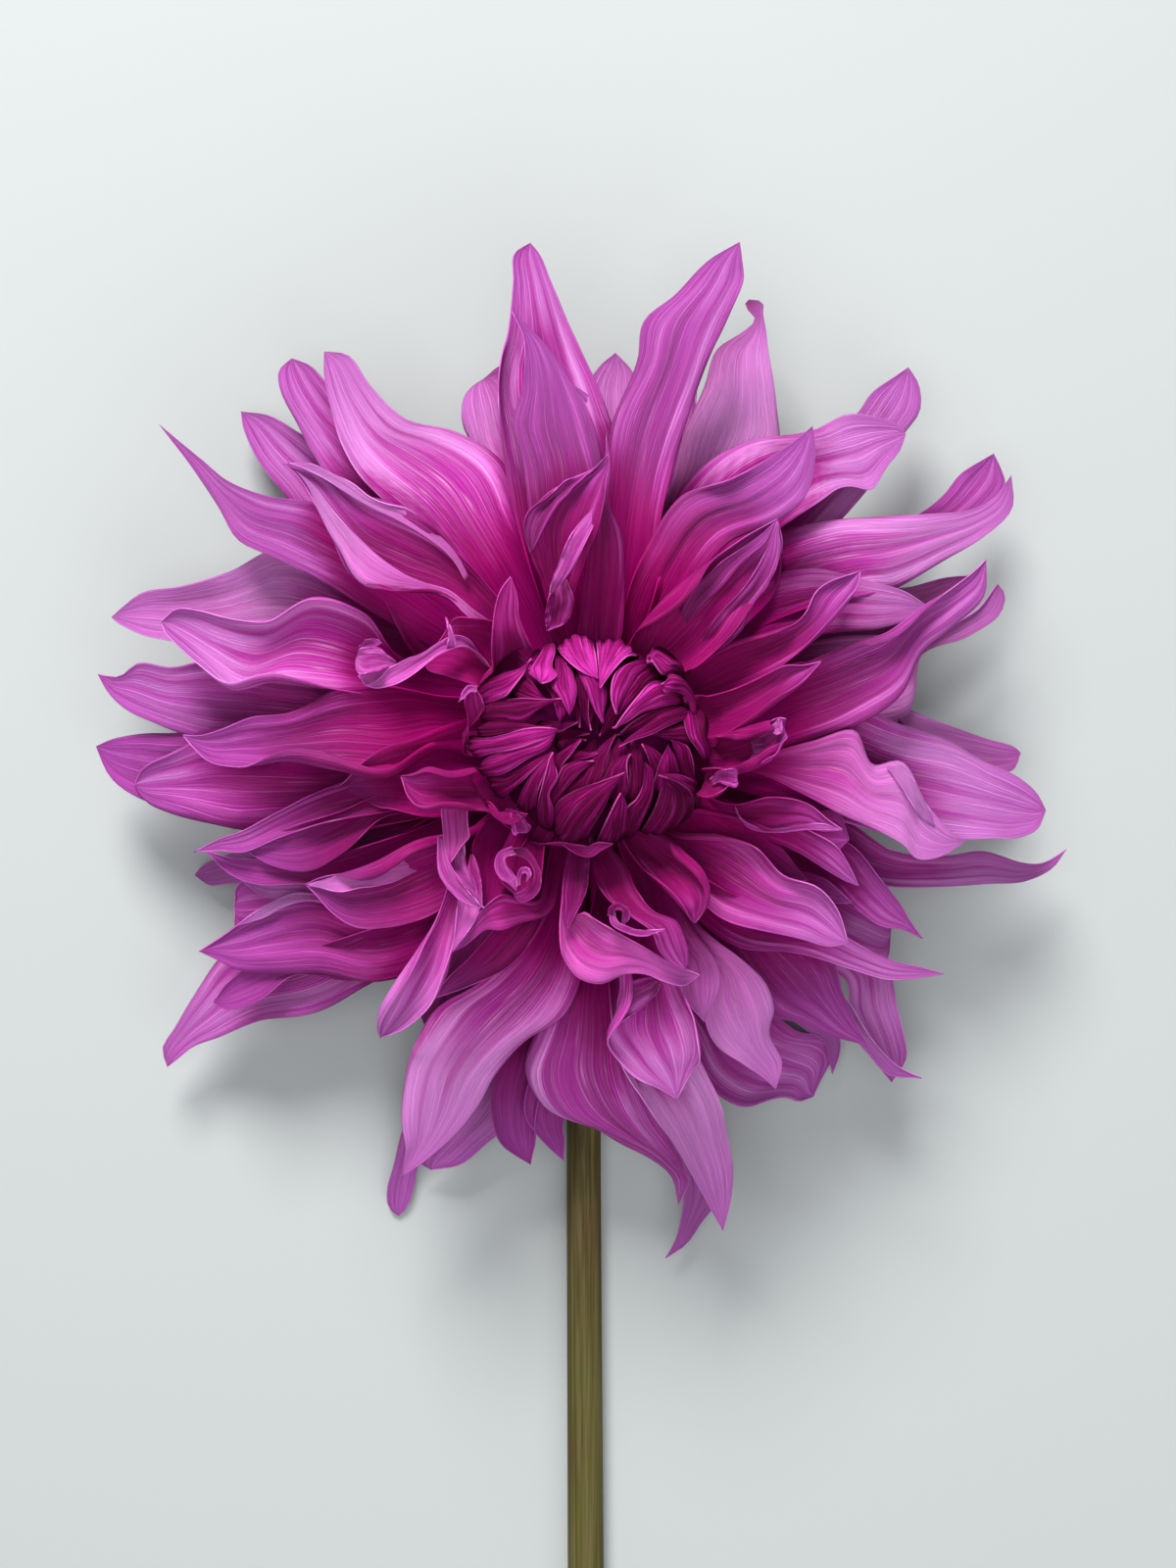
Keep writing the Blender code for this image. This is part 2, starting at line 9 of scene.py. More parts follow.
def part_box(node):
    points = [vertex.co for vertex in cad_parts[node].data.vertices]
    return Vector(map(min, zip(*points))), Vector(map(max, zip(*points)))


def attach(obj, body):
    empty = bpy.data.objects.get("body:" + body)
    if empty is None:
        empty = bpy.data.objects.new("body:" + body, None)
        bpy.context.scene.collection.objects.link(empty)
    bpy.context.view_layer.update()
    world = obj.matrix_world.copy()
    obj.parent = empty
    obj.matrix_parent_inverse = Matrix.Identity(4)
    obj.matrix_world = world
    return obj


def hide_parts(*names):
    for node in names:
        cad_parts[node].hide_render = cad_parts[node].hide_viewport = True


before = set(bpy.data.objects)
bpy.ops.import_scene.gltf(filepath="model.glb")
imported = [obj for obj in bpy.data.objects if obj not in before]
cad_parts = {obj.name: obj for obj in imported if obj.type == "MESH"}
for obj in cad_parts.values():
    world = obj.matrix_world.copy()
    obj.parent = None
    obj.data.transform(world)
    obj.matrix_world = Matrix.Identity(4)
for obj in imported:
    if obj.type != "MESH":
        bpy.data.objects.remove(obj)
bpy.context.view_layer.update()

# Camera, table and light. The flower lies face up on a plain pale table, and the camera looks
# straight down on it from as far as the eye was from the bloom. Sizes from here on are in
# millimetres from the bloom's axis, which the stalk's cut end and the frame's box give.
MM = 0.001
STEM_REACH = 272.0
STEM_CUT_RADIUS = 5.05
AXIS_X = 1.89
AXIS_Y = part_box("stem")[0].y / MM + STEM_REACH
# The eye is this far above the middle height, at which the picture's frame is this high
EYE_DISTANCE = 650.0
EYE_X, EYE_Y = -0.5, -10.8
MIDDLE_HEIGHT = 55.0
FRAME_HEIGHT = 400.0
SENSOR = 36.0
# The table's side and how far it lies below the flower, and the place that the lamps look at, in metres
TABLE_SIZE, TABLE_DROP = 6.0, 0.0004
TABLE_COLOUR, TABLE_ROUGHNESS = (0.41, 0.435, 0.438, 1.0), 0.8
LIT_PLACE = (0.0, 0.07, 0.05)
ROOM_COLOUR, ROOM_LIGHT = (0.9, 0.93, 1.0, 1.0), 0.19


def placed(points):
    """From millimetres about the bloom's axis to metres in the frame."""
    return (np.asarray(points, dtype=float) + (AXIS_X, AXIS_Y, 0.0)) * MM


def aim(lamp, place, target):
    """Puts a lamp at a place and turns it to look at a target, both in metres."""
    lamp.location = place
    way = Vector(target) - Vector(place)
    lamp.rotation_euler = way.to_track_quat("-Z", "Y").to_euler()


def new_material(name, roughness, specular=0.5):
    """A material of a given roughness and shine, with its node tree and its shader."""
    material = bpy.data.materials.new(name)
    material.use_nodes = True
    shader = material.node_tree.nodes["Principled BSDF"]
    shader.inputs["Roughness"].default_value = roughness
    shader.inputs["Specular IOR Level"].default_value = specular
    return material, material.node_tree, shader


camera_data = bpy.data.cameras.new("camera")
camera_data.sensor_width = SENSOR
camera_data.lens = SENSOR * EYE_DISTANCE / FRAME_HEIGHT
camera_data.clip_start, camera_data.clip_end = 0.01, 20.0
camera = bpy.data.objects.new("camera", camera_data)
bpy.context.scene.collection.objects.link(camera)
camera.location = placed((EYE_X, EYE_Y, MIDDLE_HEIGHT + EYE_DISTANCE)).tolist()
bpy.context.scene.camera = camera

bpy.ops.object.select_all(action="DESELECT")
bpy.ops.mesh.primitive_plane_add(size=TABLE_SIZE, location=(0, 0, -TABLE_DROP))
table = bpy.context.object
table.name = "table"
paper, _, paper_shader = new_material("pale_table", TABLE_ROUGHNESS)
paper_shader.inputs["Base Color"].default_value = TABLE_COLOUR
table.data.materials.append(paper)

LAMPS = (
    # name, place in metres, size in metres, watts, colour
    ("key", (-0.30, 1.25, 1.15), 0.7, 42.0, (1.0, 0.98, 0.96)),
    ("fill", (0.5, -0.9, 1.1), 1.2, 8.5, (0.97, 0.98, 1.0)),
    ("front", (-0.2, -0.1, 1.8), 1.2, 13.0, (1.0, 1.0, 1.0)),
)
for name, place, size, watts, colour in LAMPS:
    lamp = bpy.data.lights.new(name, "AREA")
    lamp.shape = "DISK"
    lamp.size = size
    lamp.energy = watts
    lamp.color = colour
    lamp_object = bpy.data.objects.new(name, lamp)
    bpy.context.scene.collection.objects.link(lamp_object)
    aim(lamp_object, place, LIT_PLACE)

room = bpy.data.worlds.new("soft_room")
room.use_nodes = True
room_light = room.node_tree.nodes["Background"]
room_light.inputs["Color"].default_value = ROOM_COLOUR
room_light.inputs["Strength"].default_value = ROOM_LIGHT
bpy.context.scene.world = room
bpy.context.scene.view_settings.view_transform = "Standard"

# Petals. Each is a ray floret: a soft tongue a third of a millimetre thick, narrow and channelled
# where it leaves the receptacle, widest near its middle, with a grooved inner face, wavy edges and a
# pointed tip. It starts as a copy of one flat grid, is bent, joined to its row and given its thickness.
UP = np.array([0.0, 0.0, 1.0])
CORE_SEAT_RADIUS = 14.0
HEART_EQUATOR = 84.0
HEART_RADIUS_X, HEART_RADIUS_Y = 30.5, 27.5
HEART_RISE, HEART_DROP = 24.0, 10.0
PETAL_THICKNESS = 0.32
PETAL_ALONG, PETAL_ACROSS = 52, 26
# A petal's claw: its width as a share of the petal's, how much more it is rolled, and its own channel
CLAW_WIDTH = 0.28
CLAW_ROLL = 0.5
CHANNEL = math.radians(26)
# How far a petal's tip pinches up on both sides, in degrees: a drawn one's and a plainly bent one's
DRAWN_PINCH, BENT_PINCH = 30, 70
FULLNESS = 1.14
UNEVENNESS = 2.0
# How far a petal keeps from the table, and its middle line and its sheet from the heart
FLOOR_GAP = 0.4
LINE_GAP, SHEET_GAP = 1.3, 0.5
# A petal narrower than this each side is less pleated, uneven and crinkled
FULL_HALF_WIDTH = 8.0
# Where along a plainly bent petal its tip starts to bend aside
HOOK_START = 0.72
GOLDEN_ANGLE = math.radians(137.508)

Petal = collections.namedtuple("Petal", "x y height width bow arch twist roll_left roll_right sway")

# A petal's outline and lips: where it is widest, how drawn-out and how blunt its tip is, then how far
# its left and its right lip curl (degrees, inwards if positive), and where along the petal each does.
Outline = collections.namedtuple("Outline", "widest drawn blunt lips")

# The petals that show, row by row. Each begins with its tone, its share of mauve, how far its left and
# its right half roll up, how far its left and its right lip curl (degrees), and where along it they do,
# unless that is the usual place. Its ribs follow from root to tip: left edge x and y, right edge x and y
# as seen by the eye, and height. At the tip both edges meet in one x and y.
# A tone is partly the petal's own shade and partly painted light and shade: raised where a petal is lit or
# glows with light through it, lowered where it lies in shadow. Its mauve is partly its own lilac and partly a
# painted sheen.
LIP_PLACES = (0.6, 0.6)
DRAWN_PETALS = {}
DRAWN_PETALS["back"] = [
    ((2.2, 0, 10, 10, -20, 20), ((-2.5, 13.8, 4, 13.8, 46), (-1.8, 49.2, 12, 49.2, 40),
     (-1, 76.8, 13.2, 76.8, 22), (-0.5, 90.5, 12, 90.5, 12), (2.8, 95.8, 10.2, 94.8, 9), (6.5, 99.2, 8))),
    ((0.6, 0.5, 15, 10, -40, -30, 0.6, 0.7), ((-10.5, 13, -4.2, 15, 46), (-43, 29.2, -30.5, 41.8, 38),
     (-65.5, 49.2, -50.5, 61.8, 26), (-77.5, 62.5, -63, 70.5, 18), (-85, 72.5, -74.2, 78.5, 13),
     (-88.2, 79.8, -81.8, 83, 11), (-89, 84.2, 10))),
    ((1.1, 0.6, 15, 15, 20, -30, 0.6, 0.7), ((-11.5, -10.8, -12.5, -5.8, 46),
     (-50.5, -30.8, -53, -18.2, 34), (-78, -35.8, -80.5, -25.8, 20), (-91.8, -36, -94.2, -29.5, 10),
     (-97.5, -36.2, -98.8, -31.8, 5), (-100.8, -34, 4))),
    ((0.6, 1.3, 10, 10, 20, -30, 0.6, 0.7), ((-0.5, -15.2, -3.5, -12.8, 46), (-15.5, -55.8, -23, -53.2, 36),
     (-33, -88.2, -40.5, -85.8, 18), (-40.5, -100.8, -47.5, -98.2, 8), (-44.2, -109.5, -50, -107.8, 3),
     (-45.2, -114.5, -51.8, -115.2, 1.5), (-46.8, -118.8, -51, -119.2, 1), (-48.8, -121, 1))),
    ((2, 1.1, 10, 10, -20, 20, 0.6, 0.7), ((-0.5, -14.5, -3.5, -12, 46), (-8, -48.2, -15.5, -45.8, 38),
     (-13, -80.8, -25.5, -78.2, 24), (-19.2, -95.8, -33, -90.8, 15), (-26.2, -102, -40.5, -102, 11),
     (-33, -107.5, -43.5, -106.5, 9.5), (-40.5, -109.2, 9))),
    ((0.9, 1.2, 10, 10, -30, 40, 0.6, 0.7), ((5, -16.2, 1.5, -15.8, 46), (19.5, -50.8, 9.5, -53.2, 36),
     (28.2, -83.2, 17, -85.8, 20), (33.2, -105.8, 22, -105.8, 10), (33.2, -115.8, 24, -114.5, 7),
     (28.5, -122.5, 23, -122.8, 6), (24.5, -128.2, 21.5, -127.8, 6), (19.2, -131.8, 6))),
    ((0.55, 0.6, 5, 5, -40, 20, 0.7, 0.6), ((4.5, -13.8, 1.5, -16.2, 46), (24.5, -40.8, 14.5, -50.8, 38),
     (42, -63.2, 24.5, -75.8, 24), (52.5, -72.8, 30, -87, 12), (60.8, -74.8, 38.2, -90.8, 5),
     (61.8, -80.2, 49.5, -90.2, 2.5), (59, -85.8, 53.5, -91.5, 1.5), (57, -90.5, 1.5))),
    ((2.3, 1.1, 10, 10, 20, 20), ((4.5, -13.8, 1.5, -16.2, 46), (42, -50.8, 34.5, -55.8, 30),
     (59.5, -70.8, 54.5, -73.2, 12), (63.8, -76.2, 60, -76.8, 7), (63.2, -81.2, 61.2, -81.8, 6),
     (61.8, -84.8, 6))),
]
DRAWN_PETALS["second"] = [
    ((1.2, 0.3, 10, 5, 30, -50, 0.8, 0.5), ((-13.5, 8.2, -9.2, 13.2, 51), (-43, 16.8, -38, 34.2, 48),
     (-63, 21.8, -59.2, 41.8, 42), (-83, 23, -79.2, 49.8, 36), (-96.8, 24.2, -91, 43.2, 31),
     (-108, 25.8, -103, 39.5, 28), (-115.5, 28, -114.8, 37.5, 26), (-120, 30.2, -118.8, 34.5, 25),
     (-122, 31.8, 24))),
    ((0.5, 0.8, 15, 5, -30, 30, 0.6, 0.8), ((-14, 3.2, -12.5, 8.8, 51), (-43, -3.2, -43, 13, 48),
     (-68, -2, -68, 16.8, 43), (-85.5, -0.8, -84.2, 19.2, 38), (-99.2, 0.5, -96.8, 20.2, 34),
     (-110.5, 4.5, -106.8, 18.8, 31), (-118.5, 8.5, -114.8, 19.8, 29), (-123, 12.8, -120, 16.5, 28),
     (-125.5, 17.2, 28))),
    ((-0.1, 0.7, 10, 10, -40, -30, 0.6, 0.7), ((-14, -3.8, -14, 2.2, 51), (-43, -10.8, -43, 6.8, 46),
     (-68, -14.5, -68, 5.5, 40), (-90.5, -15.8, -90.5, 3.8, 34), (-105.5, -17.2, -105.5, 2.2, 28),
     (-115.5, -14, -114.2, 2, 25), (-122.2, -8.8, -121, 0.8, 23), (-126, -1.2, 22))),
    ((0.55, 0.6, 10, 10, -50, -40, 0.8, 0.7), ((-11.8, 14.2, -4.2, 15.5, 51), (-33, 34.2, -18, 44.2, 48),
     (-53, 54.2, -35.5, 66.8, 40), (-68, 69.2, -50.5, 79.2, 32), (-75, 81.8, -63, 86.8, 26),
     (-79.2, 90.5, -67.8, 91.8, 23), (-79.2, 94.5, -71.2, 95.5, 21), (-76, 97.8, 20))),
    ((1.3, 0.4, 10, 10, -60, -20, 0.7, 0.7), ((-6.8, 13, -0.5, 13.8, 51), (-15.5, 36.8, -3, 36.8, 50),
     (-24.2, 64.2, -10.5, 64.2, 46), (-30.5, 76.8, -13.5, 83, 40), (-32.5, 83, -15.5, 94.8, 36),
     (-31.2, 88, -20.5, 95.8, 33), (-27.5, 92.2, 31))),
    ((1.9, 0, -5, -10, -30, -20), ((1.5, 13.8, 8, 12.8, 51), (9.5, 36.8, 24.5, 39.2, 48),
     (20.2, 64.2, 35.8, 64.2, 44), (24, 79.2, 48.2, 76.8, 38), (29, 90.2, 47.5, 86.8, 32),
     (32.8, 100.2, 45.5, 99.2, 28), (40, 105.2, 44.8, 105.5, 26), (42.2, 107.5, 44.2, 108.8, 25),
     (39.5, 111.2, 43.8, 112.2, 24), (40.5, 112.8, 24))),
    ((1.1, 1, 10, 0, -30, -30, 0.7, 0.8), ((4.5, 11.8, 9.5, 8, 51), (22, 39.2, 32, 26.8, 47),
     (42, 64.2, 57, 49.2, 38), (59.5, 78, 74.5, 69.2, 30), (68.2, 83.8, 80, 78.5, 25),
     (71.8, 88.8, 84.2, 84.8, 23), (76.2, 92, 83.8, 91, 22), (81.2, 95.5, 22))),
    ((0.4, 0.8, 15, 5, -40, -20, 0.8, 0.7), ((4.5, 10.2, 9.5, 6.2, 51), (34.5, 34.2, 42, 21.8, 47),
     (62, 49.2, 69.5, 39.2, 38), (84, 58, 90.8, 52.2, 28), (90.5, 63.2, 100.8, 59.2, 24),
     (94.8, 68.5, 105.8, 65.2, 22), (99.5, 71.5, 104.8, 69.5, 22), (103, 73.5, 22))),
    ((2.4, 0.1, 10, 10, -20, 10, 0.7, 0.7), ((5.5, 8.2, 9.5, 4.2, 51), (39.5, 29.2, 47, 16.8, 44),
     (69.5, 38.8, 74.5, 26.8, 32), (80.8, 39.2, 84.5, 32.2, 26), (90.8, 41.8, 92, 36.2, 22),
     (99.5, 42.5, 20))),
    ((1.7, 0.4, 20, -10, 50, -50, 0.8, 0.7), ((5.5, 6.8, 9.5, 1.8, 51), (42, 21.8, 44.5, 3, 46),
     (64.5, 26.8, 69.5, 1.8, 40), (77.5, 26.8, 82.5, 7.5, 36), (87, 27.2, 84.8, 22.2, 33),
     (94.5, 31, 96.5, 26.8, 31), (100, 35, 105.2, 33.8, 30), (102.5, 38.5, 105.8, 37.8, 30),
     (104, 40.2, 30))),
    ((1.5, 0.7, -10, 20, -60, 30), ((6.5, 3, 8.5, -2, 51), (39.5, 8, 42, -8.2, 46),
     (69.5, 14.2, 69.5, -8.2, 38), (82.8, 7.5, 83.2, -8.2, 30), (93.2, 3.5, 95.8, -8.2, 22),
     (103.2, 0.2, 105.8, -7.8, 16), (108, -1.2, 108.2, -6.2, 14.5), (109.8, -2.8, 14))),
    ((0.8, 0.5, 0, 10, 40, -30, 0.6, 0.7), ((6.5, 0.5, 7, -5.2, 51), (34.5, -8.2, 32, -20.8, 46),
     (62, -18.2, 57, -30.8, 38), (77, -27.8, 74.5, -36.5, 30), (90.8, -29, 89.5, -37, 25),
     (100.8, -28, 102, -36.2, 22), (110.8, -31, 111.5, -35.5, 21), (116, -30.8, 118, -32.2, 20),
     (121.5, -27.5, 20))),
    ((0.9, 0.6, 10, 10, -20, 30, 0.7, 0.6), ((4.5, -12, 2, -15.2, 51), (34.5, -30.8, 27, -38.2, 48),
     (62, -48.2, 54.5, -55.8, 40), (76, -57, 65.2, -60.8, 32), (78.2, -67, 66.5, -69.5, 26),
     (80, -75.2, 70.8, -77, 22), (80.5, -80.8, 73.8, -82.8, 20), (77, -86.8, 19))),
    ((0.8, 0.6, 20, 20, 30, 30), ((4.5, -12, 2, -15.2, 51), (32, -35.8, 28.2, -39.5, 49),
     (54.5, -54.5, 50.2, -58.2, 44), (65, -65.2, 61.2, -68.2, 38), (72, -76, 69.5, -78, 33),
     (78.2, -82.5, 76.2, -84.8, 30), (84.5, -85.8, 29))),
    ((0.65, 0.5, -10, 0, -20, -50, 0.6, 0.7), ((-6.8, -16.2, -9.2, -12, 51),
     (-20.5, -43.2, -30.5, -33.2, 47), (-38, -58.2, -48, -40.8, 40), (-54.2, -61, -65.5, -43.2, 34),
     (-69.2, -68.8, -80.5, -48.2, 28), (-83, -70.5, -94.2, -54.5, 22), (-94.2, -75.2, -100.5, -63.8, 19),
     (-101.8, -78.2, -106, -73.2, 17), (-105.2, -81, -109, -78.2, 16.5), (-107.8, -83, 16))),
    ((-0.4, 0.2, 10, 10, 20, 20), ((1.5, -15.2, -1.5, -12.8, 51), (-3, -48.2, -10.5, -48.2, 46),
     (-10.5, -80.8, -23, -80.8, 36), (-13.8, -95.8, -25, -93.2, 30), (-14, -102, -22.2, -102.5, 26),
     (-14.8, -105.8, -18.2, -105.8, 24.5), (-15.2, -107.8, 24))),
    ((-0.3, 0.3, 10, 10, 20, 20), ((2.5, -15.2, -0.5, -12.8, 51), (2, -48.2, -6.8, -48.2, 47),
     (-1.8, -80.8, -14.2, -80.8, 38), (-6.8, -97, -16, -95.8, 31), (-6.5, -102, -11.5, -102.2, 27),
     (-6.8, -106.8, 26))),
    ((0.5, 1, 5, 5, 20, 20), ((-10.5, -14.5, -11.5, -10.8, 48), (-45.5, -35.8, -48, -28.2, 40),
     (-70.5, -45.8, -70.5, -33.2, 30), (-86.8, -48.8, -85.5, -34, 22), (-90, -46.8, -89.8, -37, 20),
     (-90.8, -42, 20))),
    ((-1, 0.1, 10, 10, 30, 30), ((-7.5, -17, -9.2, -12.8, 54), (-35.5, -50.8, -40.5, -40.8, 50),
     (-60.5, -60.8, -65.5, -50.8, 42), (-75.5, -59.5, -78, -54.5, 37), (-84.2, -65.8, -88, -58.2, 35),
     (-92.5, -68.2, -93, -62.2, 34.5), (-96, -66.5, 34))),
    ((0.9, 0.6, 0, 0, -20, -20), ((5.5, -5.8, 3.5, -9.5, 50), (34.5, -18.2, 29.5, -30.8, 48),
     (59.5, -28.2, 54.5, -48.2, 42), (72, -33.2, 67, -57, 37), (76, -39.5, 74.5, -57, 34),
     (76.8, -48.2, 33))),
]
DRAWN_PETALS["third"] = [
    ((0.42, 0.85, -5, -10, -20, 20, 0.6, 0.5), ((-13.5, 11.2, -8, 16.8, 57), (-40.5, 24.2, -28, 36.8, 56),
     (-58, 34.2, -43, 49.2, 54), (-69.2, 41.2, -58, 54.2, 52), (-80.5, 46.8, -71, 61.2, 50),
     (-90, 51.8, -82.5, 62.8, 49), (-95, 60.2, -91.8, 66.2, 48), (-101, 69.2, -98.5, 71.5, 47),
     (-109.8, 80.8, 46))),
    ((0.85, 0.1, -5, -10, 5, -10, 0.7, 0.5), ((-10.5, 14.2, -3, 15.5, 57), (-28, 34.2, -8.8, 39.2, 58),
     (-40.5, 49.2, -15.5, 56.8, 58), (-50.5, 59.2, -24.2, 73.8, 56), (-58, 66.8, -35.5, 80, 54),
     (-63, 75.5, -46.8, 82.2, 52), (-66.2, 85.5, -56, 90.8, 50), (-67.8, 94.2, -62.2, 98.8, 48),
     (-67.8, 99.5, 47))),
    ((0.52, 0.4, 15, 0, 40, -30, 0.5, 0.6), ((-4.8, 13.8, 1.2, 13.8, 57), (-11.8, 34.2, 5.8, 34.2, 60),
     (-20.5, 64.2, 9.5, 64.2, 62), (-23, 89.2, 2.5, 89.2, 60), (-21, 101.8, -3.5, 101.8, 55),
     (-19.5, 116.8, -9.8, 116.8, 50), (-19, 124.2, -12.8, 124, 46), (-15.2, 127.2, 44))),
    ((0.42, 0.2, 10, 0, 20, -50), ((-3, 13.8, 4, 13.8, 57), (-5.5, 34.2, 15.8, 34.2, 62),
     (-6.8, 54.2, 18.5, 54.2, 65), (-5.5, 69.2, 15, 69.2, 63), (-4.2, 76.8, 7.8, 78.5, 61),
     (-0.2, 83.2, 60))),
    ((0.85, 0.3, 0, -10, -30, 30, 0.6, 0.8), ((3.2, 12.8, 9.5, 8.8, 57), (12, 36.8, 24.5, 29.2, 56),
     (24.5, 66, 42, 49.2, 54), (38.2, 76.5, 57, 59.8, 50), (58.2, 80, 65.8, 64.5, 46),
     (65, 83.2, 71.5, 64, 44), (73.2, 82.5, 75.8, 70.5, 43), (78.2, 81, 79.2, 74.8, 42), (80.5, 78.5, 42))),
    ((0.8, 0.3, -20, -10, -30, -10, 0.5, 0.6), ((4.5, 10.8, 9.5, 6.2, 57), (22, 34.2, 29.5, 21.8, 56),
     (44.5, 53, 57, 34.2, 53), (59.5, 57, 72, 37.5, 50), (74.5, 58, 79.5, 39.8, 46),
     (87, 58.2, 90.8, 46.5, 43), (97, 59.2, 100.8, 52.5, 41), (103.2, 62.5, 107.8, 59.8, 40),
     (107.5, 68, 40))),
    ((0.85, 0.7, -10, -5, -50, 40, 0.6, 0.8), ((7, 3, 8, -2.8, 57), (34.5, 10.5, 32, -10.8, 56),
     (62, 11.2, 57, -18.2, 52), (78.2, 4.8, 74.5, -23.2, 48), (93.2, 0, 89.5, -25, 44),
     (102, -5.2, 100.8, -24.5, 41), (109.5, -9.2, 109, -24.2, 38), (114.2, -13.5, 114, -21.8, 36.5),
     (116.2, -17.5, 36))),
    ((0.3, 0.3, 10, 10, 20, 40), ((6, -0.2, 6, -6.2, 57), (29.5, -10.8, 24.5, -18.2, 56),
     (52, -20.2, 47, -28.2, 52), (66.5, -26.8, 62, -37, 47), (73, -34, 67.5, -42.2, 44),
     (78.8, -41, 74, -46.8, 42), (81, -44.8, 80, -48, 41), (84.8, -50.2, 40))),
    ((0.12, 0.5, 0, 0, 20, -20), ((5, -10.8, 2.5, -14.5, 57), (29.5, -30.8, 22, -38.2, 56),
     (49.5, -45.8, 37, -55.8, 52), (60.8, -54.5, 44.5, -68.2, 46), (64, -63.2, 52.5, -71.2, 42),
     (67.5, -71.2, 60.8, -74.8, 40), (71, -77.5, 39))),
    ((1.1, 0.1, 10, -10, -20, 60, 0.6, 0.5), ((5, -15.8, 1.5, -15.2, 57), (12, -35.8, 3.2, -35.8, 58),
     (22, -58.2, 4.5, -58.2, 57), (27.5, -79.5, 7.8, -80.8, 53), (33, -90.8, 14.5, -91.2, 49),
     (35.2, -100.8, 20.5, -101.2, 44), (36.5, -109.5, 26, -110.8, 40), (35.8, -117, 30.2, -118.2, 36),
     (34, -124.8, 34))),
    ((0.5, 0.4, 0, -20, 20, -40), ((4, -15.8, 0.5, -14.5, 57), (4.5, -35.8, -4.2, -35.8, 57),
     (7, -55.8, -8, -55.8, 55), (10.8, -73.2, -13.8, -74, 51), (12.5, -84.5, -16.5, -85.8, 47),
     (16.5, -93.2, -11.8, -95, 42), (21, -102, 0.8, -100, 37), (24, -108.2, 15, -106, 32),
     (25.2, -112.5, 21, -111.2, 29.5), (22.5, -118.2, 28))),
    ((0.05, 0.3, -10, 10, -20, 50, 0.5, 0.6), ((-7.5, -15.2, -10.5, -11.2, 57),
     (-25.5, -43.2, -30.5, -30.8, 55), (-40.5, -57, -45.5, -40.8, 51), (-54.2, -61, -59.2, -43.2, 46),
     (-69.2, -59, -71, -38.5, 42), (-81.8, -59.2, -81.8, -41.2, 40), (-90.5, -58, -89.2, -46.5, 38.5),
     (-95.5, -55.5, -94.2, -50, 38), (-99.8, -53.5, 38))),
    ((-0.05, 0.2, 20, 20, 30, 30), ((-12.5, -12, -13, -7, 57), (-38, -30.8, -40.5, -20.8, 55),
     (-58, -37, -63, -28.2, 51), (-73, -36.2, -75.5, -31.5, 48), (-85, -36.2, -85, -30, 47),
     (-91.2, -34, -90.5, -29.8, 46), (-98.2, -27.8, 46))),
    ((0.45, 0.35, 0, 0, 20, -50), ((-2.5, 13.8, 2, 13.8, 52), (-8, 49.2, 9.5, 49.2, 58),
     (-10.5, 74.2, 7, 74.2, 61), (-7.5, 86.2, 1.5, 86.8, 61), (-5.5, 91.8, 61))),
    ((0.35, 0.2, -20, 10, -50, 30, 0.6, 0.7), ((-13.8, -4.5, -13.8, 1.2, 55), (-38, -18.2, -38, 1.8, 52),
     (-63, -23.2, -63, 3, 46), (-83, -23.5, -83, 3, 40), (-96.8, -21.2, -96.8, 1.8, 35),
     (-108, -18, -106, -3.2, 31), (-114, -14.5, -114, -7.5, 28), (-116.2, -11, 27))),
    ((-0.25, 0.1, 10, 10, 30, 20, 0.5, 0.6), ((-12.5, -9.5, -13.5, -4.5, 60),
     (-33, -18.2, -36.8, -10.8, 60), (-51.8, -19, -54.2, -13.8, 58), (-61.8, -27.8, -63, -17.8, 55),
     (-73, -33.2, -75.5, -21.5, 52), (-81.8, -31.2, -81.8, -24, 50), (-88.5, -27.2, 49))),
    ((0.9, 0.4, 10, 10, -20, 20), ((-11.5, -13.2, -12.5, -9.5, 52), (-38, -35.8, -40.5, -28.2, 50),
     (-58, -40, -60.5, -33.2, 46), (-75.5, -40.2, -75.5, -35, 43), (-83, -39.5, -84.2, -35, 42),
     (-90.5, -34, 41))),
    ((1.1, 0.7, 0, 0, 10, 20), ((-60, -45.2, -60.5, -44.2, 44), (-65, -42.2, -66.2, -39.8, 45),
     (-69.2, -41, -70, -38.8, 45), (-74.2, -41, -75.5, -38.5, 44), (-78.5, -42.5, -80.5, -40.5, 43),
     (-83.5, -45, -85.5, -43.5, 42), (-90, -47, 41))),
    ((1.7, 0.1, 0, 0, 10, 10), ((-10, -14.5, -13, -10.8, 58), (-16.8, -35.8, -30.5, -25.8, 58),
     (-23, -50.8, -38.5, -44.5, 56), (-29.2, -63.2, -43, -59.5, 53), (-34.2, -71.2, -43, -69.5, 50),
     (-40, -76.5, 48))),
]
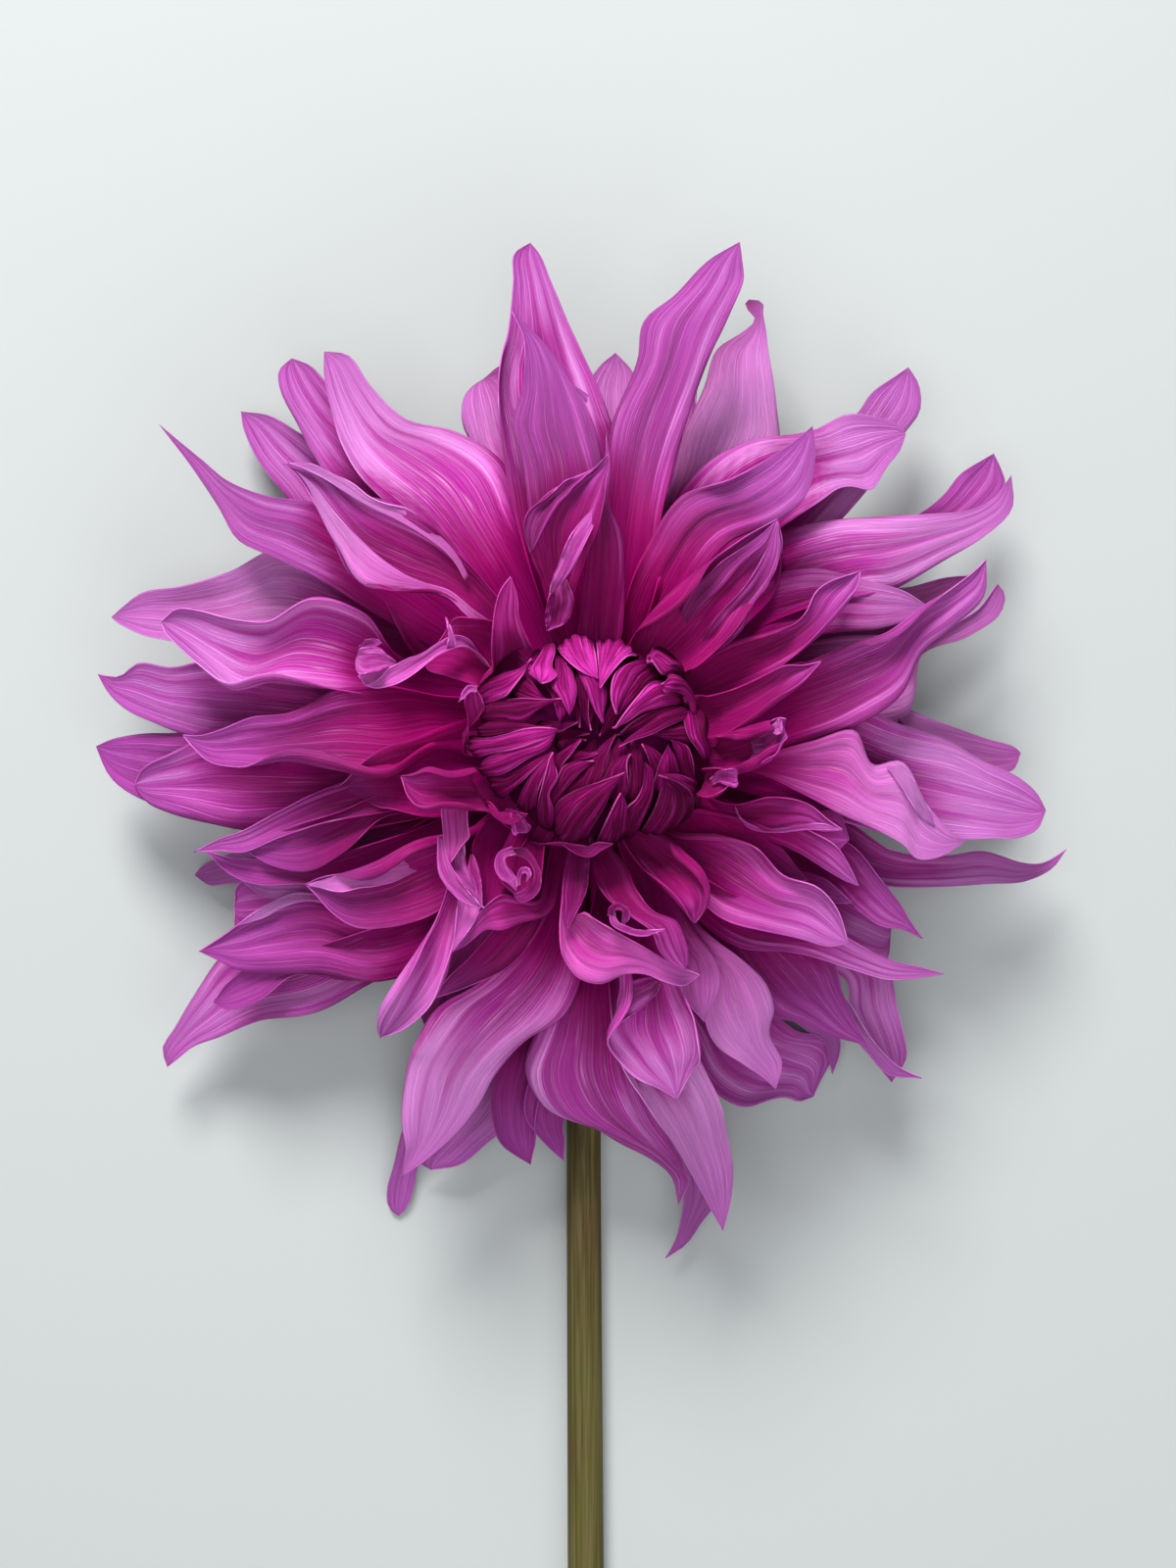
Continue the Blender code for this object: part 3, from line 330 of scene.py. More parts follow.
DRAWN_PETALS["fourth"] = [
    ((0.75, 0.15, 10, 15, 90, 70, 0.72, 0.86), ((-13.5, 6.8, -11.5, 11.2, 63),
     (-30.5, 8.8, -30.5, 16.8, 62), (-48, 10.5, -47.2, 20.8, 60), (-65.5, 13, -56, 31.8, 57),
     (-78, 14.8, -68, 35.8, 55), (-90.5, 13, -81, 30.2, 53), (-98.8, 19.2, -91.8, 31.2, 52),
     (-104.5, 24.2, -99.2, 33.2, 52), (-107.8, 27.5, -105, 33.8, 52), (-109.5, 30.5, 52))),
    ((0.16, 0.3, 40, 25, 110, -30, 0.45, 0.6), ((-14, -2, -14, 5.5, 63), (-25.5, -4.5, -25.5, 10.5, 62),
     (-39.2, -2.8, -38, 11.5, 62), (-50.5, -9, -50.5, 13.8, 61), (-64.2, -7.2, -64.2, 13.2, 60),
     (-76.8, -5, -76.2, 7.5, 59), (-89.2, -6.5, -86.8, 6, 58), (-96.8, -5, -94.2, 3, 58),
     (-101, -1.5, -99.8, 1.5, 58), (-104, 1.8, 58))),
    ((0.1, 0.9, -10, -15, 30, -40, 0.7, 0.5), ((-3.5, 13.8, 2.5, 13.8, 63), (-10.5, 34.2, 5.8, 34.2, 70),
     (-15.2, 56.8, 3, 56.8, 75), (-17.5, 71.8, 3, 71.8, 76), (-19.8, 80, 1, 80, 75),
     (-17.2, 90.5, -4, 90.5, 73), (-16.8, 101.8, -10.5, 100.5, 70), (-19, 107.8, -16.8, 106.8, 67),
     (-20.2, 110.2, 66))),
    ((0.36, 0.7, -10, 0, -30, -50, 0.6, 0.7), ((-1, 14.2, 6, 13.2, 63), (0.8, 36.8, 14.5, 34.2, 66),
     (2.5, 59.2, 18.5, 59.2, 68), (5.8, 81.8, 23.8, 79.2, 68), (12, 96.8, 29.5, 96.2, 66),
     (13.8, 106.8, 34.5, 106.8, 64), (22, 114.5, 39, 116.8, 62), (30, 122.5, 38.8, 122.8, 61),
     (38.2, 127.5, 60))),
    ((0.42, 1, -5, -5, 20, -20, 0.5, 0.6), ((4, 12.8, 9, 8.8, 63), (7.5, 29.2, 17.5, 24.2, 68),
     (13.2, 46.8, 25.8, 39.2, 73), (23.8, 63, 35.8, 51, 75), (35.8, 66.5, 49, 57, 75),
     (45.8, 72.5, 55.8, 64.2, 74), (51.5, 76.2, 57.5, 73, 73), (56.8, 80.5, 72))),
    ((0.42, 0.45, 0, -15, 170, -40, 0.6, 0.55), ((6.5, 8.8, 9.5, 3, 63), (24.5, 5.5, 24.5, -4.5, 65),
     (39.5, 11.2, 39.5, -4.2, 66), (53.2, 19.2, 53.2, -0.8, 65), (67, 25, 67, 3.8, 64),
     (75.8, 28, 79.5, 12.2, 63), (83.2, 33.8, 83.8, 21.8, 61), (90.8, 38.2, 93.5, 30, 59),
     (97.5, 43.2, 100.5, 37.2, 57), (101, 46.5, 56))),
    ((1.1, 0.2, 0, 0, -30, -10), ((5.5, 9.2, 9.5, 4.8, 63), (22, 26.8, 29.5, 16.8, 62),
     (42, 41.2, 49.5, 24.2, 58), (57, 44, 62, 27.8, 55), (70.8, 41.2, 74.5, 29, 52),
     (80.8, 38, 82, 31.5, 50), (86.5, 34.2, 50))),
    ((1.15, 0.15, -15, -5, -40, 20, 0.7, 0.7), ((7.5, 2.2, 8.5, -2.8, 63), (27, -0.2, 26, -8.2, 66),
     (43.2, -3, 42, -8, 67), (55.8, 0, 52.5, -12.5, 65), (67, 2.8, 63.2, -18.2, 62),
     (72.8, -6, 72, -22, 60), (80, -5, 78.2, -25.5, 58), (86.5, -16.5, 84, -30, 56),
     (91.5, -22.5, 90, -29, 55), (95.8, -25.5, 54))),
    ((0.45, 0.2, 0, 0, 20, 50, 0.7, 0.6), ((5.5, -2, 5, -7, 63), (29.5, -13.2, 25.8, -19.5, 64),
     (47, -19, 44.5, -25, 65), (57, -23.2, 52.5, -27.8, 64), (63.5, -27.5, 60, -32.5, 63),
     (66.2, -31.8, 64.5, -35.2, 62.5), (68.5, -36.8, 62))),
    ((0.3, 0.4, 10, 10, 20, 20), ((4, -4.5, 3, -9.5, 63), (29.5, -23.2, 25.8, -30.8, 60),
     (47, -31.8, 44.5, -37.5, 57), (59.5, -34.8, 57, -40.8, 55), (67, -41.2, 54))),
    ((0.6, 0.4, -10, 10, -20, 40, 0.6, 0.5), ((3.5, -4.5, 1, -8.8, 63), (24.5, -25.8, 17, -33.2, 62),
     (45.8, -42, 37, -52, 58), (62, -47.8, 54.5, -54, 55), (70.8, -53, 66.5, -57.8, 52),
     (78.2, -56.2, 75.8, -60.5, 51), (84.5, -57.5, 83.8, -60.2, 50), (90.2, -59.2, 50))),
    ((1.45, 0, -10, 10, -30, 60), ((7, -16.2, 4, -16.2, 63), (19.5, -35.8, 13.2, -37, 64),
     (30, -48.8, 22.5, -52.5, 65), (38.8, -55.5, 30, -60.8, 63), (44.8, -61.5, 28.8, -69.8, 60),
     (47, -68.2, 32, -77, 57), (46, -75.2, 38.8, -81.8, 54), (49, -82, 43.5, -85, 52), (47.5, -88.5, 52))),
    ((0.95, 0.1, -10, -5, -20, -40, 0.5, 0.6), ((1, -14.5, -2.5, -12.2, 63),
     (-1.8, -30.8, -10.5, -30.8, 63), (-2, -48.2, -15.5, -48.2, 62), (-2.2, -61.5, -28, -60.8, 60),
     (-7.2, -71, -39.2, -67.8, 58), (-15.5, -76.5, -44.5, -76.8, 56), (-24.2, -85.2, -47, -85, 53),
     (-28.8, -93.2, -48.2, -96, 51), (-36.8, -102.2, -47, -103.2, 49), (-43.5, -108, -47.5, -107.8, 48),
     (-47.8, -110.8, 48))),
    ((0.34, 0.2, 20, 10, 50, 30, 0.7, 0.5), ((-13.5, -8.2, -14, -3.2, 63), (-30.5, -14.5, -30.5, -7, 62),
     (-50.5, -17.5, -54.2, -8.2, 58), (-68, -21, -68, -12.5, 54), (-79.2, -24.5, -79.8, -18.2, 51.5),
     (-88.8, -28.2, -89.2, -23, 50.5), (-94.2, -27.8, -95, -25, 50), (-101, -28.2, 50))),
    ((1.4, 0.4, 10, 10, -30, 40), ((6.5, -16.2, 3.5, -16.2, 65), (19.5, -35.8, 12, -37, 68),
     (26.5, -48.2, 17.5, -50.8, 69), (32.5, -56.8, 22, -57, 68), (32.5, -62.8, 23.8, -64.8, 67),
     (29.2, -71.5, 66))),
    ((0.15, 0.1, 0, 0, 20, 20), ((5, -3.2, 4, -7.8, 58), (34.5, -14.5, 29.5, -23.2, 60),
     (54.5, -18.2, 49.5, -27.5, 60), (63.2, -18.2, 60.8, -29.5, 58), (66.2, -25, 57))),
    ((1, 0.4, 0, 0, 10, 10), ((56, 31.2, 57, 29.5, 60), (60.2, 32.5, 61.8, 30.5, 60),
     (63, 35.2, 64.2, 33.8, 59), (66.2, 38.2, 58))),
    ((2.2, 0.6, 0, 0, 10, 10), ((79.5, -5.8, 75.5, -6.5, 59), (82, -9, 78.2, -10, 59.5),
     (84, -12.8, 81.2, -14.5, 59), (86.5, -17, 84.2, -19, 57.5), (88, -21.5, 56.5))),
]
DRAWN_PETALS["inner"] = [
    ((0.32, 0.15, 15, 15, 40, 20, 0.52, 0.6), ((-13.5, 10.5, -10.5, 16.8, 67),
     (-24.2, 26.8, -21.8, 34.2, 72), (-39.2, 37.5, -34.2, 48.5, 76), (-51.8, 38.5, -41.8, 56, 78),
     (-60.5, 41.8, -50.5, 60.8, 79), (-65.5, 51.8, -58, 63, 79), (-71, 62.5, -66.8, 69, 78),
     (-74.8, 68, -72.5, 71.2, 77), (-78.2, 70.8, 76))),
    ((-0.05, 0, 20, 20, 20, 20), ((-11.5, 2.2, -11.5, 8.8, 67), (-18, 5.5, -18.5, 16.8, 74),
     (-25.5, 10.5, -25.5, 29.2, 82), (-31.8, 14.8, -31, 31.2, 86), (-36.8, 16.8, -35, 31.2, 87),
     (-40.5, 17.8, -36.8, 28, 87), (-41.5, 21.2, 87))),
    ((0.1, 0.3, 20, 20, 120, 20, 0.55, 0.6), ((7, 13, 10.8, 8, 67), (10.8, 25.5, 22, 16.8, 74),
     (16.5, 34.2, 33.2, 25.2, 80), (24.5, 41.8, 41.5, 35.2, 84), (33.2, 47.8, 46, 41.2, 86),
     (40.8, 52.8, 49, 49.8, 86), (47.8, 56.8, 86))),
    ((0.2, 0.2, 20, 20, 30, 30, 0.55, 0.5), ((-4.2, 13.8, 0, 13.8, 67), (-10.5, 28.8, -5.5, 28, 76),
     (-11.2, 38, -4.5, 36.8, 84), (-14.8, 47.2, -1, 46.8, 89), (-16.8, 54.8, 2.2, 55.5, 92),
     (-13.8, 60.2, 3.5, 61.2, 93), (-5.5, 66, 4.2, 66.2, 93), (0.8, 69.2, 5, 70, 92), (4.8, 73.5, 92))),
    ((0.36, 0.7, 0, -20, 20, -30), ((-1, 14.2, 3.2, 14.2, 67), (-3, 26.8, 8, 26.8, 74),
     (-1.5, 41.8, 8.8, 41.8, 80), (0.5, 54.2, 7.8, 54.2, 84), (2.5, 63, 4.8, 61, 86),
     (3.8, 70.5, 5.2, 69.8, 86), (4.2, 78.8, 86))),
    ((0.34, 0.3, 30, 30, 60, 80, 0.8, 0.7), ((7.5, 10.5, 10.5, 5.5, 67), (24.5, 16.8, 27, 9.2, 72),
     (35.8, 25, 39.5, 13.5, 76), (47, 28.2, 49.5, 19.8, 78), (55, 33, 61.2, 30, 79),
     (57.5, 38, 65.2, 34.8, 79), (63.2, 41.5, 68, 39.2, 78), (69, 43.5, 78))),
    ((0.24, 0.6, 30, 30, 60, 90, 0.8, 0.7), ((8, 8, 10.5, 3, 67), (27, 11.2, 30.8, -0.2, 76),
     (37, 13.5, 40.8, 4.8, 82), (45.8, 17.5, 48.8, 10.8, 85), (49.5, 19.5, 54, 14.8, 86),
     (54.5, 19.5, 57, 18.2, 86), (59, 20.5, 86))),
    ((0.35, 0.1, 30, 40, 20, 110, 0.6, 0.5), ((6.5, -1.2, 6, -6.2, 67), (24.5, -10.8, 22, -17, 70),
     (37.5, -16, 38.2, -20.2, 73), (47, -14.2, 45.8, -23, 75), (55.8, -16, 54.5, -21.8, 76),
     (60.8, -20, 60, -22.8, 76), (64.5, -22.5, 76))),
    ((0.8, 0.5, 10, 10, 120, 20, 0.45, 0.6), ((4, -5.2, 1.5, -9.5, 67), (22, -23.2, 15.8, -30.8, 69),
     (33.2, -24, 25.8, -37.5, 72), (42.5, -27.2, 34, -45, 74), (49.5, -34.2, 44.5, -48.2, 75),
     (57.5, -37, 53.2, -50.2, 75), (63, -43.2, 60, -52.2, 74), (66, -51.5, 74))),
    ((0.75, 0.05, 20, 20, 50, 90, 0.7, 0.55), ((6, -15.8, 3, -15.8, 67), (14.5, -35.8, 9.5, -35.8, 70),
     (19.5, -53.2, 7, -53.2, 72), (23.5, -63.2, 7.5, -65.8, 73), (26.5, -70.8, 4.2, -75.2, 72),
     (27.5, -77.8, 9, -82.5, 70), (25.8, -83.2, 15.8, -86.8, 68), (22.2, -91.2, 67))),
    ((1.1, 0, 10, 10, 50, -30), ((2.5, -15.8, -1, -13.8, 67), (0.2, -27, -5.8, -27.8, 73),
     (-0.5, -33.2, -6.8, -34.5, 79), (-1.5, -39.5, -7, -42, 82), (-3, -44.2, -7.2, -48.2, 84),
     (-1, -43.5, -6.8, -54.5, 84.5), (1.5, -45, -3, -60.2, 85), (5, -47.2, 2.5, -61.8, 86),
     (9.5, -50, 8.8, -59.5, 86), (14.5, -52.8, 13.8, -59.2, 85), (19.5, -55.8, 19, -61.2, 83),
     (24, -57.8, 23.8, -62.2, 81), (28, -59.5, 80))),
    ((0.85, 0.1, 40, 30, 60, 120, 0.6, 0.78), ((-3.5, -13.8, -7.5, -10.8, 67),
     (-20.5, -23.2, -25.5, -18.2, 72), (-31.5, -33.2, -36.8, -32, 76), (-33, -40.2, -36.5, -37.2, 79),
     (-33.8, -46.2, -40, -47.2, 80), (-35, -53.2, -44.5, -54.2, 81), (-36.8, -59.8, -49.8, -61.5, 81),
     (-41.2, -67.2, -53.2, -67.2, 80), (-47.5, -72.8, -54, -72, 79), (-53.5, -75.5, 78))),
    ((-0.1, 0.2, 30, 30, 40, 150, 0.5, 0.5), ((-9.2, -13.8, -11.5, -9.5, 67),
     (-25.5, -30.8, -30.5, -22, 72), (-40.5, -44, -45.5, -25.8, 74), (-50.5, -47, -54.2, -30.5, 74),
     (-60, -46.8, -61.8, -33.2, 74), (-66, -43, -66.8, -34.2, 74), (-70, -38.8, -70, -35.2, 74),
     (-72.5, -36.5, 74))),
    ((1, 0.2, 10, 10, 30, 20, 0.7, 0.6), ((-4.2, -14.5, -8, -11.5, 69), (-25.5, -18.2, -26.8, -13.8, 84),
     (-31.2, -17.8, -37.5, -15.8, 88), (-31, -22.2, -37.5, -22.2, 89), (-30.8, -24.8, -37.2, -26.2, 89),
     (-33, -27.2, -36.5, -29.2, 90), (-35.8, -31.2, 90))),
    ((0.5, 0.5, 10, 0, -40, 30, 0.8, 0.6), ((5, -16.2, 2, -15.2, 69), (5.8, -27.2, 0.2, -29, 74),
     (9.5, -32, 1.5, -35.2, 80), (12.5, -39.5, 5, -41, 86), (16.5, -43.5, 10.8, -45, 89),
     (22, -45.8, 15.8, -48.5, 90), (24.2, -50.2, 17.5, -53, 89), (25, -54.8, 21, -56.8, 87),
     (24.5, -58.2, 86))),
    ((0.55, 0.6, 0, 0, -40, 40), ((-1, -18.2, -4.2, -15.2, 69), (-6.8, -33.2, -10.5, -28.2, 74),
     (-11, -44.2, -13.5, -40.5, 80), (-17.5, -46.2, -18.2, -40, 83), (-22.2, -48, -22.5, -39, 85),
     (-26.2, -48, -26.8, -42.2, 85), (-29.2, -50, -30.2, -46.5, 84), (-32, -52.2, -33.2, -50.2, 83),
     (-35.2, -53.8, 82))),
    ((0, 0.1, 10, 10, 20, 20), ((-8, -17, -11.5, -13.8, 69), (-14.2, -23.2, -25.5, -20.8, 76),
     (-19.2, -30.8, -30, -27.2, 80), (-21.5, -37, -29, -35.8, 81), (-24, -41.2, -28.5, -41.2, 82),
     (-27.2, -44.2, 82))),
    ((0.42, 0.6, 10, 10, 20, 20), ((-15.2, 48.2, -14.8, 48.8, 92), (-16.5, 51.8, -12.8, 52.5, 94),
     (-17, 54.8, -11, 55.8, 95), (-16.2, 57.8, -9, 59, 95.5), (-14.2, 60, -6.8, 61.8, 95.5),
     (-10.5, 62.2, -4.5, 64.2, 95.5), (-6.5, 65.8, -2, 66.5, 95), (-1, 68.5, 0.5, 69, 94), (4.5, 73, 93))),
    ((0.45, 0.1, 20, 20, 20, 20), ((-6, 41.2, -10, 37.8, 88), (-4.8, 38.2, -11, 35, 88),
     (-4.5, 34.2, -11.5, 32.2, 87), (-6.2, 30.5, -11.2, 30, 86), (-11, 28.2, 86))),
    ((1.05, 0.3, -10, -10, 20, 20), ((-10.5, 37, -10, 37.5, 88), (-9.8, 40.8, -7, 40.8, 92),
     (-8.2, 44.8, -4.2, 44.8, 94), (-7, 48.2, -2.5, 48.2, 95), (-5.2, 52, -1, 51.2, 95.5),
     (-3, 55.5, 0.5, 54.2, 95.5), (-0.2, 58.5, 1.8, 57.5, 95), (3.5, 62.2, 94))),
    ((1.35, 0.35, 0, -10, 10, 30), ((-31.8, 41, -31, 42.2, 77), (-35.5, 47, -34.8, 48.8, 79),
     (-40.5, 51.2, -38.8, 53, 80.5), (-45.5, 54.5, -42.8, 56.8, 81.5), (-50.5, 57.2, -46.8, 59.5, 82),
     (-54.8, 59.2, -51.5, 60.5, 82), (-58.5, 61.2, -55.5, 62, 82), (-63, 64, -60.5, 65.8, 81.5),
     (-68, 67.2, -65, 68.2, 80.5), (-72.8, 69.5, -69.2, 70.2, 79.5), (-77.2, 71.2, 78))),
    ((1.35, 0.1, -20, -10, -30, -20), ((-25.2, 28.5, -25.5, 30.8, 78), (-28.5, 29.8, -29, 33.2, 79),
     (-32.5, 33.2, -32.5, 36, 80), (-35.5, 36.2, -36, 38.5, 80.5), (-39.2, 38, -40.5, 40, 81.5),
     (-45.5, 39, -45.5, 41.8, 82.5), (-51.8, 39, -49.2, 43.8, 83.5), (-56.2, 39.5, -53, 46.5, 84),
     (-59.5, 41.5, -56.8, 49.8, 84), (-62, 45, -60, 53, 84), (-64.2, 49.2, -63, 56.2, 83.5),
     (-67, 54.2, -66, 59.8, 82.5), (-69.8, 60, -69, 63.8, 81), (-72, 65.2, -71.2, 66.2, 80),
     (-75, 69.2, 78))),
    ((0.3, 1, 0, 0, 10, 10), ((22, 28, 22.8, 27.5, 76), (23.8, 34.8, 27.2, 32.8, 83),
     (26.2, 39.2, 30, 36.2, 85), (30, 42.5, 34, 39.8, 87), (34, 46.2, 37.5, 44.2, 88),
     (38.5, 49.2, 41, 47.8, 89), (42.5, 52, 44, 50.2, 89), (47.5, 56.2, 88))),
    ((0.45, 0.8, 0, 10, 10, 20), ((26.5, 22.2, 27.8, 21.8, 76), (30, 28.5, 35, 25.2, 82),
     (32.5, 32.2, 39, 28.8, 84), (35.8, 35.8, 41.5, 34.8, 86), (39, 39.2, 45, 39.8, 88),
     (42, 43.5, 47, 43.5, 89), (44.5, 48, 48.5, 48.8, 89.5), (46.2, 52.2, 48.2, 53, 89), (47.8, 56.5, 88))),
    ((0.85, 0.1, 0, 10, 10, 20), ((37, -16.2, 37.2, -16.8, 75), (38, -18.8, 38.8, -19.8, 76.5),
     (39.5, -20.2, 40, -21.5, 77), (43.5, -21.8, 43.5, -23, 78), (48.5, -22, 48.5, -23.2, 78.5),
     (54.5, -21, 54.8, -22.5, 78.5), (60, -21, 60.2, -22.5, 78), (64.2, -22.5, 77))),
    ((0.75, 0.3, 10, 10, 20, 20), ((17.8, -62, 16.5, -60.2, 73), (16, -65.2, 11.5, -60.8, 75),
     (13.2, -68.2, 8.2, -61.2, 76), (9.8, -70.2, 7.5, -65.2, 76), (7.5, -72, 6.8, -69.5, 75),
     (5, -74.2, 74))),
    ((1.35, 0.1, 10, 10, 20, 20), ((-42.5, -31.8, -42.2, -30.8, 73), (-49.5, -35.5, -49.5, -30.2, 76),
     (-54.2, -36.8, -54.2, -31.8, 77), (-58.5, -37.2, -59.2, -33, 77), (-63.5, -38.2, -64.2, -34, 77),
     (-68, -37.5, -66.8, -34.8, 76), (-72, -36.5, 75))),
]
